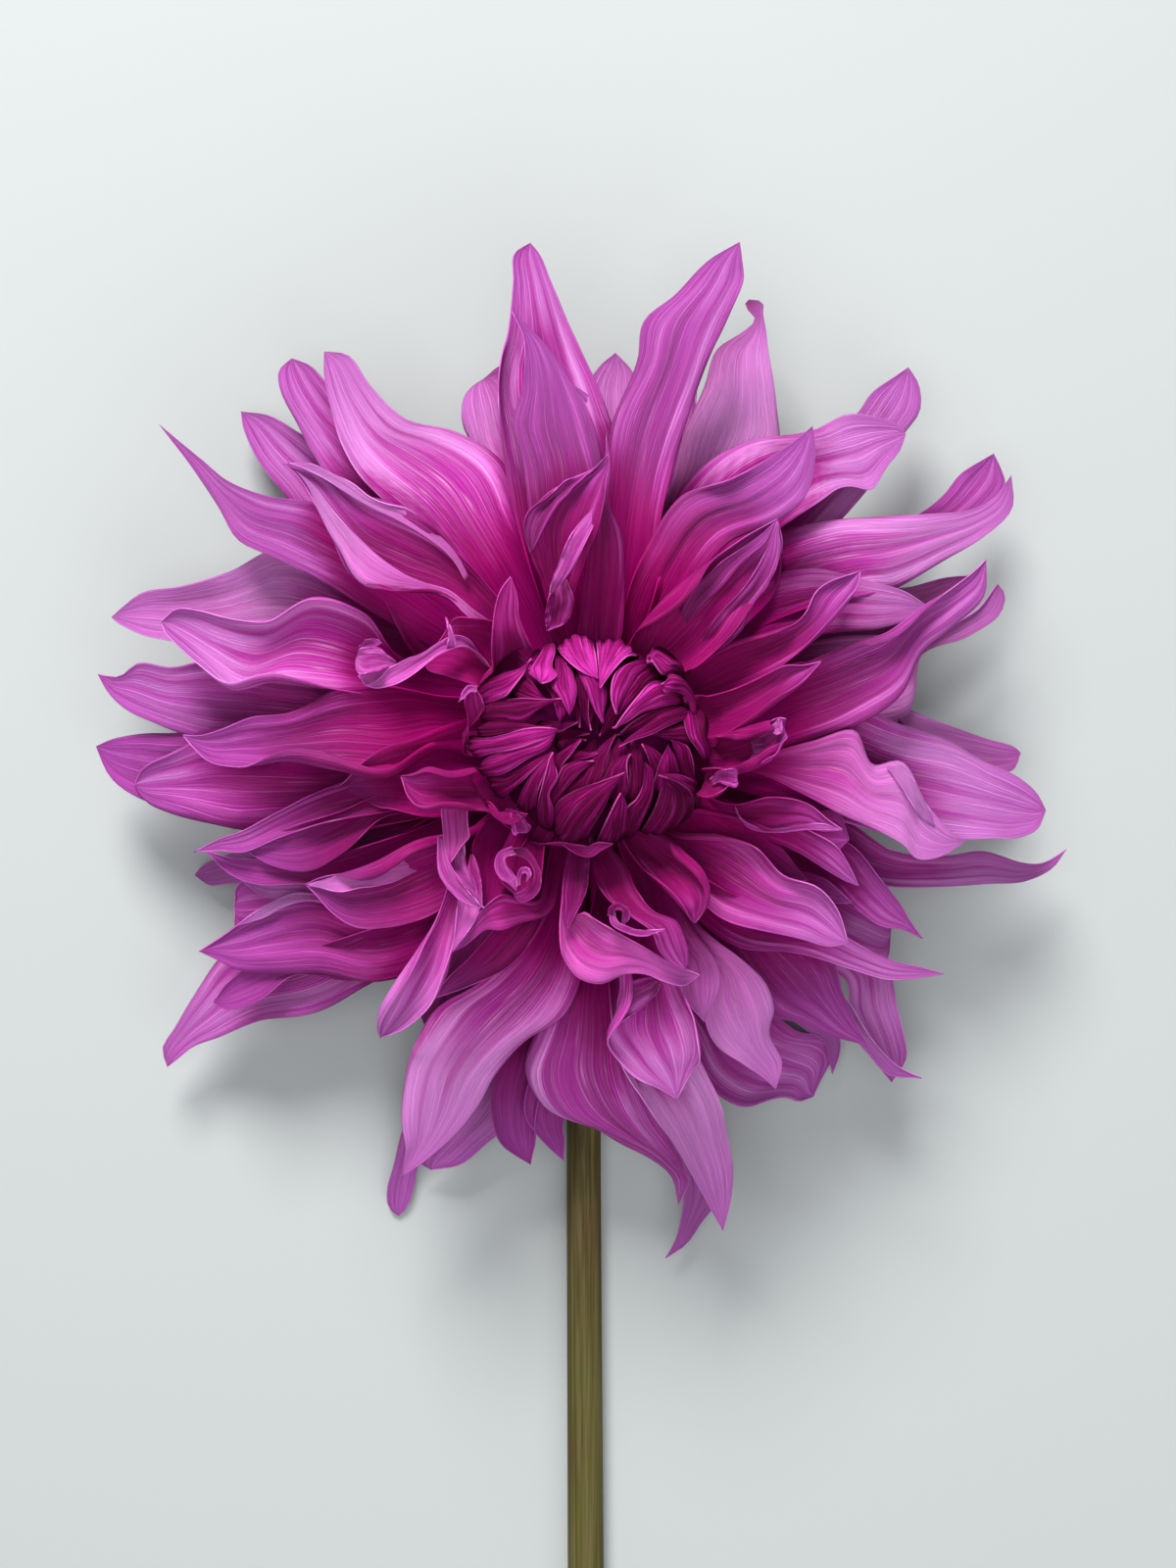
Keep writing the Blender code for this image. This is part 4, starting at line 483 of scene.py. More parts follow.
DRAWN_PETALS["collar"] = [
    ((0.42, 0.4, 20, 10, 30, 20), ((-6.8, 9.2, -5.5, 14.2, 69), (-23.5, 13, -13, 17.2, 82),
     (-24.8, 19.2, -14.8, 21.2, 89), (-25, 24.2, -14.5, 24.2, 93), (-24.8, 28.8, -16.5, 28, 96),
     (-24.2, 33.8, -18, 31.8, 97), (-22.8, 38.5, -18.5, 37.2, 98), (-20.2, 42.2, 98))),
    ((0.28, 0.2, 50, 40, 130, 60, 0.75, 0.7), ((6.5, -15.8, 4, -16.2, 69), (17.5, -24.5, 9.5, -27.8, 75),
     (25, -30.2, 14.5, -34.2, 82), (29.8, -35, 20, -39, 86), (30.5, -38.8, 23.5, -42.5, 87),
     (28.8, -43, 25.2, -44.5, 86), (26.8, -46.2, 85))),
    ((-0.2, 0, 20, 20, 60, 40), ((-3, -15.2, -6, -12.2, 66), (-6.8, -30.8, -14.2, -28.2, 68),
     (-13, -48.2, -23, -45.8, 70), (-20.5, -57, -30.5, -54.5, 70), (-30.5, -62, -35.5, -59.5, 69),
     (-40.5, -65.8, 68))),
    ((0.05, 0, 20, 20, 30, 30), ((-6.8, -17, -10.5, -13.8, 69), (-10.5, -22.8, -18.5, -21.2, 79),
     (-11.8, -28.2, -22, -26.8, 84), (-12.5, -34.5, -23.8, -31.2, 85), (-14.2, -38.8, -22, -36.2, 85),
     (-18, -39.8, 85))),
    ((0.2, 0.5, 30, 30, 90, 110, 0.8, 0.8), ((-6.8, -10.8, -8, -7, 69), (-20.5, -17.8, -23, -8.2, 80),
     (-31.8, -17.5, -31.8, -6.8, 90), (-38, -16.8, -36.8, -7.5, 94), (-42.8, -17.5, -41.2, -6.5, 95),
     (-46, -14.5, -44.5, -8, 95), (-48.2, -8.8, 95))),
    ((0.26, 0.1, 30, 20, 20, 20), ((-11.5, -3.2, -13, 3, 69), (-25.5, -2, -24.2, 2.2, 82),
     (-30.8, 3, -26.8, 3, 90), (-31.2, 7, -26.8, 7.2, 95), (-32, 10.8, -27.5, 11.2, 98),
     (-31.2, 13, -28.5, 12.8, 99), (-30, 14.2, 100))),
    ((-0.05, 0, 10, 10, 20, 20), ((-8, -13.2, -10.5, -9.5, 69), (-19.2, -19.5, -21.8, -14.5, 82),
     (-25.8, -18, -25.2, -15.2, 92), (-23, -20.2, -22.8, -18, 94), (-20, -21.2, -19.8, -15.8, 96),
     (-16.8, -19.5, -16.8, -16.5, 97), (-14, -16.2, 97))),
    ((0.42, 0.1, 0, 20, 60, 20), ((-0.5, -14.5, -3, -12, 69), (-8.5, -18.8, -10.5, -16.2, 82),
     (-9.2, -22.2, -9.2, -23.5, 90), (-6, -22.2, -6.5, -26.2, 92), (-3, -24, -3, -28.8, 93),
     (-0.5, -26.8, 0, -29.5, 94), (2.2, -24, 2.8, -27.8, 94), (6, -26, 94))),
    ((-0.1, 0, 30, 30, 80, 70, 0.8, 0.8), ((9.5, -2, 9.5, -7, 69), (24.5, -4.5, 23.2, -12, 82),
     (30, -7, 29, -13.8, 92), (34, -7, 32.5, -14.5, 97), (37.5, -7.8, 98))),
    ((-0.2, 0, 70, 70, 120, 120, 0.8, 0.8), ((9.5, 3, 9.5, -2, 69), (27, 0.5, 25.8, -7.5, 78),
     (38.2, 2.5, 38.2, -8.5, 87), (45, 4.5, 44.5, -6.5, 93), (48.5, 5, 48, -3.8, 96), (50, 1.2, 97))),
    ((1.1, 0.25, 20, 10, 40, 20), ((-24.2, 16.8, -25.5, 19.2, 80), (-33.5, 23.8, -35, 26.8, 91),
     (-38, 22.5, -38.8, 25.2, 95), (-41.2, 20.2, -43, 22.5, 96), (-44.2, 17.8, -46.5, 21.2, 97),
     (-46.5, 16.2, -49.2, 19.8, 97), (-49.2, 14.8, -51.5, 18.5, 97), (-52, 14, -53.5, 16.2, 97),
     (-54.5, 13.8, -55.8, 14.8, 96), (-57.5, 14.5, 95))),
    ((0.9, 0.2, 20, 10, 30, 20), ((-49.5, 19.2, -49.5, 20.2, 96), (-52.5, 18.8, -52.2, 22.5, 98),
     (-55.5, 17.8, -53.8, 24, 99), (-58.2, 17.2, -56.2, 24, 99), (-59.5, 19.2, -58.2, 23.2, 98),
     (-59.5, 21.5, 97))),
    ((2, 0.1, 10, 10, 20, 20), ((-50.5, 18.2, -50, 19.5, 94), (-53, 15, -53, 19, 94),
     (-56.5, 14, -56.5, 18, 94), (-59.2, 16.8, 94))),
    ((0.45, 0.8, 10, 10, 20, 20), ((-58.8, 24.2, -58.8, 22.8, 97), (-56.5, 26, -56.8, 23.8, 99),
     (-54.5, 26.2, -54.5, 24.2, 99), (-53.2, 25.2, 99))),
    ((1.4, 0.3, 20, 10, 40, 20), ((-37, 23.8, -34.8, 24, 93), (-36, 26.5, -34.2, 25.8, 96),
     (-36.2, 29, -35, 28, 97), (-36.8, 31.8, 97))),
    ((0.2, 0.1, 10, 10, 40, 20), ((0, -23.2, -5, -23.2, 74), (-0.2, -33.2, -6.5, -34, 83),
     (-1, -38.8, -6.8, -40.2, 86), (-3.5, -43.8, -6.8, -45.2, 87), (-6, -48.2, 87))),
    ((0.85, 0.1, 10, 10, 20, 20), ((6.2, -43.5, 4.8, -43.5, 89), (7.5, -46, 5.8, -47, 91),
     (11.2, -47.8, 9.8, -49, 92), (15.5, -48, 14.5, -49.5, 92), (19.2, -47.8, 92))),
    ((0.45, 0.2, 10, 10, 20, 20), ((4.5, -44.2, 6, -44.2, 89), (5, -42.2, 6.5, -43, 91),
     (7.2, -41, 7.5, -42.8, 92), (9.8, -42.5, 8.2, -43.5, 92), (10, -45, 8.2, -45, 91), (8.2, -47.2, 90))),
    ((1, 0.4, 20, 10, 40, 20), ((-37.2, -24.8, -38.8, -24.2, 88), (-36.2, -30.5, -39, -29.8, 90),
     (-33.8, -34.5, -38.5, -34, 91), (-31, -38, -35.2, -38.5, 91), (-28.5, -40.8, -31.2, -41.2, 90),
     (-26.8, -42.5, 89))),
    ((1.1, 0, 10, 10, 20, 20), ((-31.8, -26.2, -35.5, -28.8, 85), (-31.5, -31.2, -35.8, -31.5, 86),
     (-29.8, -35.2, -33.2, -35, 87), (-28.2, -38.8, -30.2, -38.5, 87), (-27.8, -41.8, 88))),
    ((0.65, 0.2, 10, 10, 20, 20), ((-29.8, -28.8, -30.5, -28.8, 86), (-28.5, -32.2, -30.8, -33, 88),
     (-27.8, -35.8, -29.5, -36.8, 89), (-27.5, -39.2, -28.5, -40, 89), (-27.5, -41.8, 89))),
    ((1.8, 0.1, 10, 10, 20, 20), ((-27.5, -41.2, -33.5, -39.2, 83), (-29, -45.2, -34, -44.5, 85),
     (-31.8, -49.2, -34.5, -48.8, 85), (-35.2, -53.8, 84))),
    ((0.2, 0.2, 10, 10, 40, 20), ((-20.8, -27.2, -19.8, -28.8, 88), (-15.8, -27.5, -16.8, -29.8, 90),
     (-13.5, -31, -15.2, -31.2, 91), (-12.5, -34.5, -14.2, -33.8, 92), (-12.8, -37.5, -15, -36.2, 92),
     (-14.8, -40, -17, -37.8, 92), (-17.2, -41, -18.2, -38.5, 92), (-19.5, -39.2, 91))),
    ((0.8, 0.3, 10, 10, 20, 20), ((-19, -28.8, -20, -26.8, 90), (-21.5, -29.8, -23.5, -28.5, 92),
     (-21, -31.8, -24.2, -31.8, 93), (-19.8, -33.2, -23, -34.5, 93), (-18.8, -35.2, -20.8, -36.2, 93),
     (-18.8, -38, 92))),
    ((0.85, 0.5, 10, 10, 20, 20), ((-18.8, -37, -17.8, -36.5, 93), (-18.5, -34, -17.5, -34.2, 94),
     (-17.5, -32.2, -17, -33.5, 95), (-15.8, -32.2, -16.2, -33.5, 95), (-15, -33.8, -16, -34.2, 95),
     (-16.2, -35.8, 94))),
    ((1, 0.4, 10, 10, 20, 20), ((-28.8, 12.8, -28.8, 14, 100), (-30.5, 12.5, -30.8, 14.5, 101),
     (-32, 11.2, -32.5, 12.5, 101), (-33.5, 10.2, 100))),
    ((0.62, 0.2, 10, 10, 20, 20), ((-16, -16.2, -19.8, -16.8, 95), (-16, -19, -20.2, -20.2, 95),
     (-14.8, -21.2, -19.8, -22.8, 94), (-16, -23.2, 93))),
    ((0.55, 0.2, 20, 20, 40, 40), ((41, 2.2, 42, -5.2, 90), (44.5, 3.5, 45.5, -5.8, 95),
     (47, 5.2, 48.2, -3.5, 98), (48.8, 6, 49.2, -0.2, 99), (49.5, 3.8, 98))),
    ((1.5, 0.3, 0, 0, 10, 10), ((46.5, 3.8, 47, 2, 99), (47.8, 5.5, 48.8, 2.2, 101), (49, 5.5, 101))),
    ((0.65, 0.3, 10, 0, 30, 10), ((30.8, -9.5, 31.5, -11, 96), (33.2, -7.5, 33.8, -10.5, 99),
     (35.5, -7, 35.8, -11.5, 100), (36.8, -6.8, 37, -11.8, 100), (37.5, -9.2, 99))),
]

# Petals at the back that show only in gaps: the tip's x and y as seen by the eye and its height, the
# width, the bow to the left, the arch upwards, the twist, the roll of the left and the right half
# towards the inner face (all angles in degrees), and how far the tip bends to the left.
HIDDEN_ROOT = (46.0, 12.0)
HIDDEN_PETALS = [
    Petal(45, 71, 5, 20, 3, 16, 10, 20, 20, 0),
    Petal(28, 94, 12, 18, -2, 14, 0, 30, 10, 0),
    Petal(-94, -17, 2, 24, 4, 20, -10, 20, 30, -3),
    Petal(-88, -44, 6, 16, 3, 16, 20, 20, 20, 0),
]
HIDDEN_TIPS = ((74, 12), (76, -40), (76, 52), (-66, 62), (-92, 22), (-60, -62), (-24, 84), (24, 74))
for place, (x, y) in enumerate(HIDDEN_TIPS):
    HIDDEN_PETALS.append(Petal(x, y, 0, 22, -3 if place % 2 else 3, 20, 0, 20, 20, 0))

# Petals that fill the bloom behind those above, set round it by the golden angle. The heights and
# reaches are those of the lowest and the highest one.
FILL_COUNT = 6
FILL_ROOT_HEIGHTS = (48.0, 66.0)
FILL_TIP_HEIGHTS = (16.0, 62.0)
FILL_REACHES = (88.0, 62.0)
FILL_WIDTH = 24.0
FILL_SEED = 11


def unit(v):
    """A vector, or an array of them, of length 1."""
    return v / np.maximum(np.linalg.norm(v, axis=-1, keepdims=True), 1e-9)


def between(ends, share):
    """A value at a share of the way from one end to the other."""
    return ends[0] + (ends[1] - ends[0]) * share


def as_seen(x, y, height):
    """The true place of a point that the eye sees at x, y in the plane of the middle height."""
    nearness = (EYE_DISTANCE - (height - MIDDLE_HEIGHT)) / EYE_DISTANCE
    return np.array([EYE_X + (x - EYE_X) * nearness, EYE_Y + (y - EYE_Y) * nearness, height])


def clear_of_heart(points, gap):
    """Moves points that lie in the closed centre out to its skin."""
    out = points - UP * HEART_EQUATOR
    height = np.where(out[..., 2] > 0, HEART_RISE, HEART_DROP)
    wide, deep = np.full_like(height, HEART_RADIUS_X), np.full_like(height, HEART_RADIUS_Y)
    sides = np.stack([wide, deep, height], axis=-1) + gap
    depth = np.linalg.norm(out / sides, axis=-1, keepdims=True)
    return np.where(depth < 1.0, UP * HEART_EQUATOR + out / np.maximum(depth, 0.3), points)


def centre_line(petal, root, along):
    """Points along the middle of a petal, from its root in the core to its tip."""
    tip = as_seen(petal.x, petal.y, petal.height)
    outward = unit(tip * (1, 1, 0))
    start = outward * root[1] + UP * root[0]
    s = along[:, None]
    belly = 4 * s * (1 - s)
    hooked = np.maximum((s - HOOK_START) / (1 - HOOK_START), 0) ** 2
    left = np.cross(UP, outward)
    line = start + (tip - start) * s + belly * (petal.arch * UP + petal.bow * left)
    return clear_of_heart(line + (hooked - s) * petal.sway * left, LINE_GAP)


def outline_of(petal, draw):
    """An outline and lips for a petal at the back. Its upper edge rolls back, its lower one in."""
    lips = draw.uniform(15, 95, 2) * ((-1, 0.8) if petal.x > 0 else (0.8, -1)) + draw.normal(0, 15, 2)
    return Outline(draw.uniform(0.4, 0.58), draw.uniform(0.1, 0.7), draw.uniform(1.6, 3.0),
                   (*lips, draw.uniform(0.35, 0.7), draw.uniform(0.35, 0.7)))


def half_width(petal, outline, along):
    """Half the petal's width: a narrow claw, widest near the middle, and a drawn-out or blunt tip."""
    rising = CLAW_WIDTH + (1 - CLAW_WIDTH) * np.sin(np.clip(along / outline.widest, 0, 1) * math.pi / 2)
    past = np.clip((along - outline.widest) / (1 - outline.widest), 0, 1)
    tapered = (1 - past ** outline.blunt) * (1 - outline.drawn * past ** 1.1)
    return petal.width / 2 * rising * np.maximum(tapered, 0.012)


def turned_about(facing, left, turn):
    """The way a petal faces and the way to its left edge, both turned about its length."""
    return facing * np.cos(turn) + left * np.sin(turn), left * np.cos(turn) - facing * np.sin(turn)


def petal_frame(petal, root, along):
    """The centre line, the way its inner face looks and the way to its left edge."""
    step = 0.01
    line = centre_line(petal, root, along)
    ahead = unit(centre_line(petal, root, along + step) - centre_line(petal, root, along - step))
    outward = unit(line[-1] * (1, 1, 0))
    facing = UP - 0.6 * outward
    facing = unit(facing - ahead * np.sum(facing * ahead, axis=-1, keepdims=True))
    left = np.cross(facing, ahead)
    return line, *turned_about(facing, left, np.radians(petal.twist * along)[:, None])


def ruffle(along, across, draw, strength):
    """Small crinkles of a petal's edges, in millimetres, that fade out towards its middle."""
    crinkles = np.zeros((len(along), len(across)))
    for half in (1, -1):
        cycles, start = draw.uniform(3.5, 6.5), draw.uniform(0, 1)
        swing = np.sin(2 * math.pi * (cycles * along + start + 0.35 * np.sin(5 * along + 9 * start)))
        swell = np.sin(np.clip(along, 0, 1) * math.pi) ** 0.5 * draw.uniform(0.5, 1.2)
        crinkles += np.outer(swing * swell, np.clip(across * half, 0, 1) ** 3)
    return crinkles * strength


def cross_slopes(rolls, lips, along, across, draw, pinch):
    """Slopes across a petal, in radians: a channelled claw and tip, rolled halves, curled lips and waves."""
    side = np.abs(across)
    roll = np.where(across > 0, *rolls)
    claw = 1 + CLAW_ROLL * (1 - along) ** 2
    slopes = np.radians(np.outer(claw, roll)) * side ** 1.2 * 1.2
    slopes += CHANNEL * np.outer((1 - along) ** 0.7, side ** 0.3)
    slopes += math.radians(pinch) * np.outer(np.clip((along - 0.78) / 0.22, 0, 1) ** 1.4, side)
    fade = np.sin(np.clip(along * 1.08, 0, 1) * math.pi) ** 0.5
    for half, curl, middle in ((1, lips[0], lips[2]), (-1, lips[1], lips[3])):
        out = np.clip(across * half, 0, 1)
        spread = draw.uniform(0.18, 0.32)
        lip = math.radians(curl) * (0.2 + np.exp(-((along - middle) / spread) ** 2))
        cycles, start, strength = draw.uniform(0.9, 2.6), draw.uniform(0, 1), draw.uniform(0.5, 1.2)
        swing = strength * np.sin(2 * math.pi * (cycles * along + start + 0.1 * np.sin(7 * along)))
        slopes += np.outer(lip, np.clip((out - 0.4) / 0.6, 0, 1) ** 1.4)
        slopes += np.outer(swing * fade, out ** 2)
    return slopes


def pleats(across, draw):
    """Grooves and ridges that run along a petal, with the midrib's groove the deepest."""
    relief = -0.8 * np.exp(-(across / 0.14) ** 2)
    for place in (-0.62, -0.34, 0.34, 0.62):
        at = place + draw.uniform(-0.08, 0.08)
        relief = relief - draw.uniform(0.1, 0.45) * np.exp(-((across - at) / 0.15) ** 2)
    return relief


def lay_across(angle, step):
    """Runs out from the midrib to each edge along slopes given in radians: sideways and rise."""
    middle = angle.shape[1] // 2
    slopes = (angle[:, 1:] + angle[:, :-1]) / 2
    sideways = np.zeros_like(angle)
    rise = np.zeros_like(angle)
    sideways[:, middle + 1:] = np.cumsum(np.cos(slopes[:, middle:]), axis=1) * step
    rise[:, middle + 1:] = np.cumsum(np.sin(slopes[:, middle:]), axis=1) * step
    sideways[:, :middle] = -np.cumsum(np.cos(slopes[:, :middle][:, ::-1]), axis=1)[:, ::-1] * step
    rise[:, :middle] = np.cumsum(np.sin(slopes[:, :middle][:, ::-1]), axis=1)[:, ::-1] * step
    return sideways, rise


def bent_sheet(petal, outline, root, along, across, draw):
    """The petal's sheet: a gently winding line, curled cross-sections, pleats and a soft unevenness."""
    line, facing, left = petal_frame(petal, root, along)
    bulge = (4 * along * (1 - along))[:, None]
    past = (np.clip((along - 0.66) / 0.34, 0, 1) ** 1.4)[:, None]
    wind = np.sin(2 * math.pi * (draw.uniform(0.8, 1.3) * along + draw.uniform(0, 1)))[:, None]
    line = line + facing * wind * bulge * draw.uniform(-3.5, 3.5)
    line = line + left * wind * bulge * draw.uniform(-3.6, 3.6)
    curl = (past - along[:, None]) * (draw.uniform(-6, 8) * facing + draw.uniform(-6, 6) * left)
    line = clear_of_heart(line + curl, LINE_GAP)
    spin = np.radians(draw.uniform(-75, 75)) * past + np.radians(draw.uniform(-12, 12))
    facing, left = turned_about(facing, left, spin)
    angle = cross_slopes((petal.roll_left, petal.roll_right), outline.lips, along, across, draw, BENT_PINCH)
    sideways, rise = lay_across(angle, 2 / (len(across) - 1))
    half = half_width(petal, outline, along) * FULLNESS
    fade = np.sin(np.clip(along, 0, 1) * math.pi)
    swells = [1 + 0.2 * fade * np.sin(2 * math.pi * (draw.uniform(0.9, 1.9) * along + draw.uniform(0, 1)))
              for _ in range(2)]
    reach = half[:, None] * np.where(across > 0, swells[0][:, None], swells[1][:, None])
    sheet = line[:, None] + left[:, None] * (sideways * reach)[..., None]
    relief = rise * reach + surface_relief(along, across, half, draw)
    return sheet + facing[:, None] * relief[..., None]


def surface_relief(along, across, half, draw):
    """How far the pleats and the soft unevenness lift each point of a petal, less where it is narrow."""
    depth = np.sin(np.clip(along, 0, 1) * math.pi) ** 0.6 * np.minimum(half / FULL_HALF_WIDTH, 1)
    x, y = draw.uniform(-100, 100, 2)
    uneven = np.array([[noise.noise(Vector((3.1 * s + x, 1.7 * v + y, 0.5))) for v in across]
                       for s in along])
    return np.outer(depth, pleats(across, draw)) + uneven * UNEVENNESS * depth[:, None]


def through(knots, points, at):
    """A smooth curve through points given at rising knots, read at other places."""
    slope = np.gradient(points, knots, axis=0)
    k = np.clip(np.searchsorted(knots, at, side="right") - 1, 0, len(knots) - 2)
    gap = (knots[k + 1] - knots[k])[:, None]
    t = (at[:, None] - knots[k][:, None]) / gap
    return ((2 * t ** 3 - 3 * t ** 2 + 1) * points[k] + (t ** 3 - 2 * t ** 2 + t) * gap * slope[k]
            + (3 * t ** 2 - 2 * t ** 3) * points[k + 1] + (t ** 3 - t ** 2) * gap * slope[k + 1])


def between_edges(edges, along):
    """The middle line between two edges, the way and half the distance to the left one, and its facing."""
    steps = np.max([np.linalg.norm(np.diff(edge, axis=0), axis=1) for edge in edges], axis=0)
    knots = np.concatenate([[0], np.cumsum(steps)]) / steps.sum()
    left_edge, right_edge = (through(knots, edge, along) for edge in edges)
    line = (left_edge + right_edge) / 2
    out = (left_edge - right_edge) / 2
    facing = unit(np.cross(unit(np.gradient(line, axis=0)), out))
    return line, out, np.linalg.norm(out, axis=1), facing


def with_tip(ribs):
    """The ribs with the last one, the tip, written out for both edges."""
    return [*ribs[:-1], ribs[-1][:2] + ribs[-1]]


def drawn_sheet(marks, ribs, crinkled, along, across, draw):
    """The sheet of a petal drawn rib by rib: its edges lie where they are seen and its section curls."""
    ribs = with_tip(ribs)
    edges = [np.array([as_seen(rib[k], rib[k + 1], rib[4]) for rib in ribs]) for k in (0, 2)]
    line, out, half, facing = between_edges(edges, along)
    facing = unit(facing + 0.5 * np.where(facing[:, 2:] < 0, -UP, UP))
    lips = (marks[4:] + LIP_PLACES)[:4]
    angle = cross_slopes(marks[2:4], lips, along, across, draw, DRAWN_PINCH)
    sideways, rise = lay_across(angle, 2 / (len(across) - 1))
    reach = np.where(across > 0, sideways.max(axis=1)[:, None], -sideways.min(axis=1)[:, None])
    reach = np.maximum(reach, 0.2)
    lift = rise / reach * half[:, None] + surface_relief(along, across, half, draw)
    lift += ruffle(along, across, draw, crinkled) * np.minimum(half / FULL_HALF_WIDTH, 1)[:, None]
    return line[:, None] + out[:, None] * (sideways / reach)[..., None] + facing[:, None] * lift[..., None]


def settled(sheet):
    """A petal's sheet, kept out of the closed centre and off the table."""
    sheet = clear_of_heart(sheet, SHEET_GAP)
    sheet[..., 2] = np.maximum(sheet[..., 2], FLOOR_GAP)
    return sheet


def flat_grid(name, along, across):
    """A flat grid that runs along X and across Y, each from -0.5 to 0.5."""
    bpy.ops.object.select_all(action="DESELECT")
    bpy.ops.mesh.primitive_grid_add(x_subdivisions=along, y_subdivisions=across, size=1.0)
    bpy.context.object.name = name
    return bpy.context.object


def grid_places(mesh):
    """The places along and across a flat grid, and each point's row and column in it."""
    flat = np.empty(len(mesh.vertices) * 3)
    mesh.vertices.foreach_get("co", flat)
    flat = flat.reshape(-1, 3)
    along = np.unique(flat[:, 0].round(5))
    across = np.unique(flat[:, 1].round(5))
    rows = np.searchsorted(along, flat[:, 0].round(5))
    columns = np.searchsorted(across, flat[:, 1].round(5))
    return along + 0.5, across * 2, rows, columns


def shape_grid(piece, sheet_of):
    """Moves a grid's points to where a function of their places along and across puts them."""
    along, across, rows, columns = grid_places(piece.data)
    sheet = sheet_of(along, across)
    piece.data.vertices.foreach_set("co", placed(sheet[rows, columns]).ravel())


def shaped_copy(blank, name, sheet_of, **shades):
    """A copy of a flat grid with its own mesh, bent to its form and marked with its shades."""
    piece = blank.copy()
    piece.data = blank.data.copy()
    piece.name = name
    bpy.context.scene.collection.objects.link(piece)
    shape_grid(piece, sheet_of)
    for mark, value in shades.items():
        shade = piece.data.attributes.new(mark, "FLOAT", "POINT")
        shade.data.foreach_set("value", np.full(len(piece.data.vertices), value))
    return piece


def mark_painted_shade_depth(pieces, fulls, cell, spread):
    """Marks each point with how far it lies below the surface round it, as a share of a full depth, for the
    painted shade of the deep parts.
    """
    clouds = []
    for piece in pieces:
        flat = np.empty(len(piece.data.vertices) * 3)
        piece.data.vertices.foreach_get("co", flat)
        clouds.append(flat.reshape(-1, 3) / MM)
    everything = np.concatenate(clouds)
    corner = everything[:, :2].min(axis=0) - spread
    counts = np.ceil((everything[:, :2].max(axis=0) + spread - corner) / cell).astype(int) + 1
    tops = np.zeros(counts)
    np.maximum.at(tops, tuple(((everything[:, :2] - corner) / cell).astype(int).T), everything[:, 2])
    known = tops > 0
    total, seen = np.zeros(counts), np.zeros(counts)
    cells = range(-int(spread / cell), int(spread / cell) + 1)
    for dx, dy in ((dx, dy) for dx in cells for dy in cells if dx * dx + dy * dy <= cells[-1] ** 2):
        total += np.roll(tops, (dx, dy), (0, 1))
        seen += np.roll(known, (dx, dy), (0, 1))
    level = total / np.maximum(seen, 1)
    for piece, cloud, full in zip(pieces, clouds, fulls):
        here = level[tuple(((cloud[:, :2] - corner) / cell).astype(int).T)]
        depth = piece.data.attributes.new("painted_shade_depth", "FLOAT", "POINT")
        depth.data.foreach_set("value", np.clip((here - cloud[:, 2]) / full, 0, 1))


def join_sheets(pieces, name, thickness, face, back):
    """Makes one object of several sheets, gives them their thickness and the skins of both sides."""
    bpy.ops.object.select_all(action="DESELECT")
    for piece in pieces:
        piece.select_set(True)
    bpy.context.view_layer.objects.active = pieces[0]
    bpy.ops.object.join()
    row = bpy.context.object
    row.name = name
    row.data.name = name
    wall = row.modifiers.new("wall", "SOLIDIFY")
    wall.thickness = thickness * MM
    wall.offset = 0.0
    wall.material_offset = 1
    wall.material_offset_rim = 0
    bpy.ops.object.modifier_apply(modifier=wall.name)
    bpy.ops.object.shade_smooth()
    row.data.materials.clear()
    row.data.materials.append(face)
    row.data.materials.append(back)
    return row


def add_node(tree, kind, **settings):
    """A shader node, with its properties set by name."""
    made = tree.nodes.new(kind)
    for key, value in settings.items():
        setattr(made, key, value)
    return made


def feed(tree, target, **sources):
    """Links outputs to a node's inputs, or sets them, by the inputs' names with _ for a space."""
    for key, source in sources.items():
        by_number = key[0] == "i" and key[1:].isdigit()
        socket = target.inputs[int(key[1:]) if by_number else key.replace("_", " ")]
        if isinstance(source, bpy.types.NodeSocket):
            tree.links.new(source, socket)
        else:
            socket.default_value = source
    return target


def maths(tree, operation, first, second=0.5, third=0.0):
    """The result of one operation on two or three values."""
    made = add_node(tree, "ShaderNodeMath", operation=operation, use_clamp=False)
    return feed(tree, made, i0=first, i1=second, i2=third).outputs[0]


def times(tree, first, second):
    """One value times another."""
    return maths(tree, "MULTIPLY", first, second)


def span(tree, value, low, high, start=0.0, end=1.0):
    """Maps a value smoothly from one range to another."""
    made = add_node(tree, "ShaderNodeMapRange", interpolation_type="SMOOTHSTEP", clamp=True)
    feed(tree, made, i0=value, i1=low, i2=high, i3=start, i4=end)
    return made.outputs[0]


def tint(tree, share, first, second):
    """The first colour with a share of the second laid over it. Each is an output or a triple."""
    made = add_node(tree, "ShaderNodeMix", data_type="RGBA", blend_type="MIX", clamp_factor=True)
    first, second = (colour if isinstance(colour, bpy.types.NodeSocket) else (*colour, 1)
                     for colour in (first, second))
    feed(tree, made, i0=share, i6=first, i7=second)
    return made.outputs[2]


def mark_of(tree, name):
    """The value that a mesh's points are marked with under a name."""
    return add_node(tree, "ShaderNodeAttribute", attribute_name=name).outputs["Fac"]


def emboss(tree, shader, height, strength, distance):
    """Raises a skin by a height, at most by a distance in metres."""
    bump = add_node(tree, "ShaderNodeBump")
    feed(tree, bump, Height=height, Strength=strength, Distance=distance)
    tree.links.new(bump.outputs[0], shader.inputs["Normal"])


def flat_noise(tree, along, side, detail, roughness=0.5):
    """Flat noise over two coordinates that are stretched already."""
    place = add_node(tree, "ShaderNodeCombineXYZ")
    feed(tree, place, X=along, Y=side)
    made = add_node(tree, "ShaderNodeTexNoise", noise_dimensions="2D")
    feed(tree, made, Vector=place.outputs[0], Scale=1.0, Detail=detail, Roughness=roughness)
    return made.outputs[0]


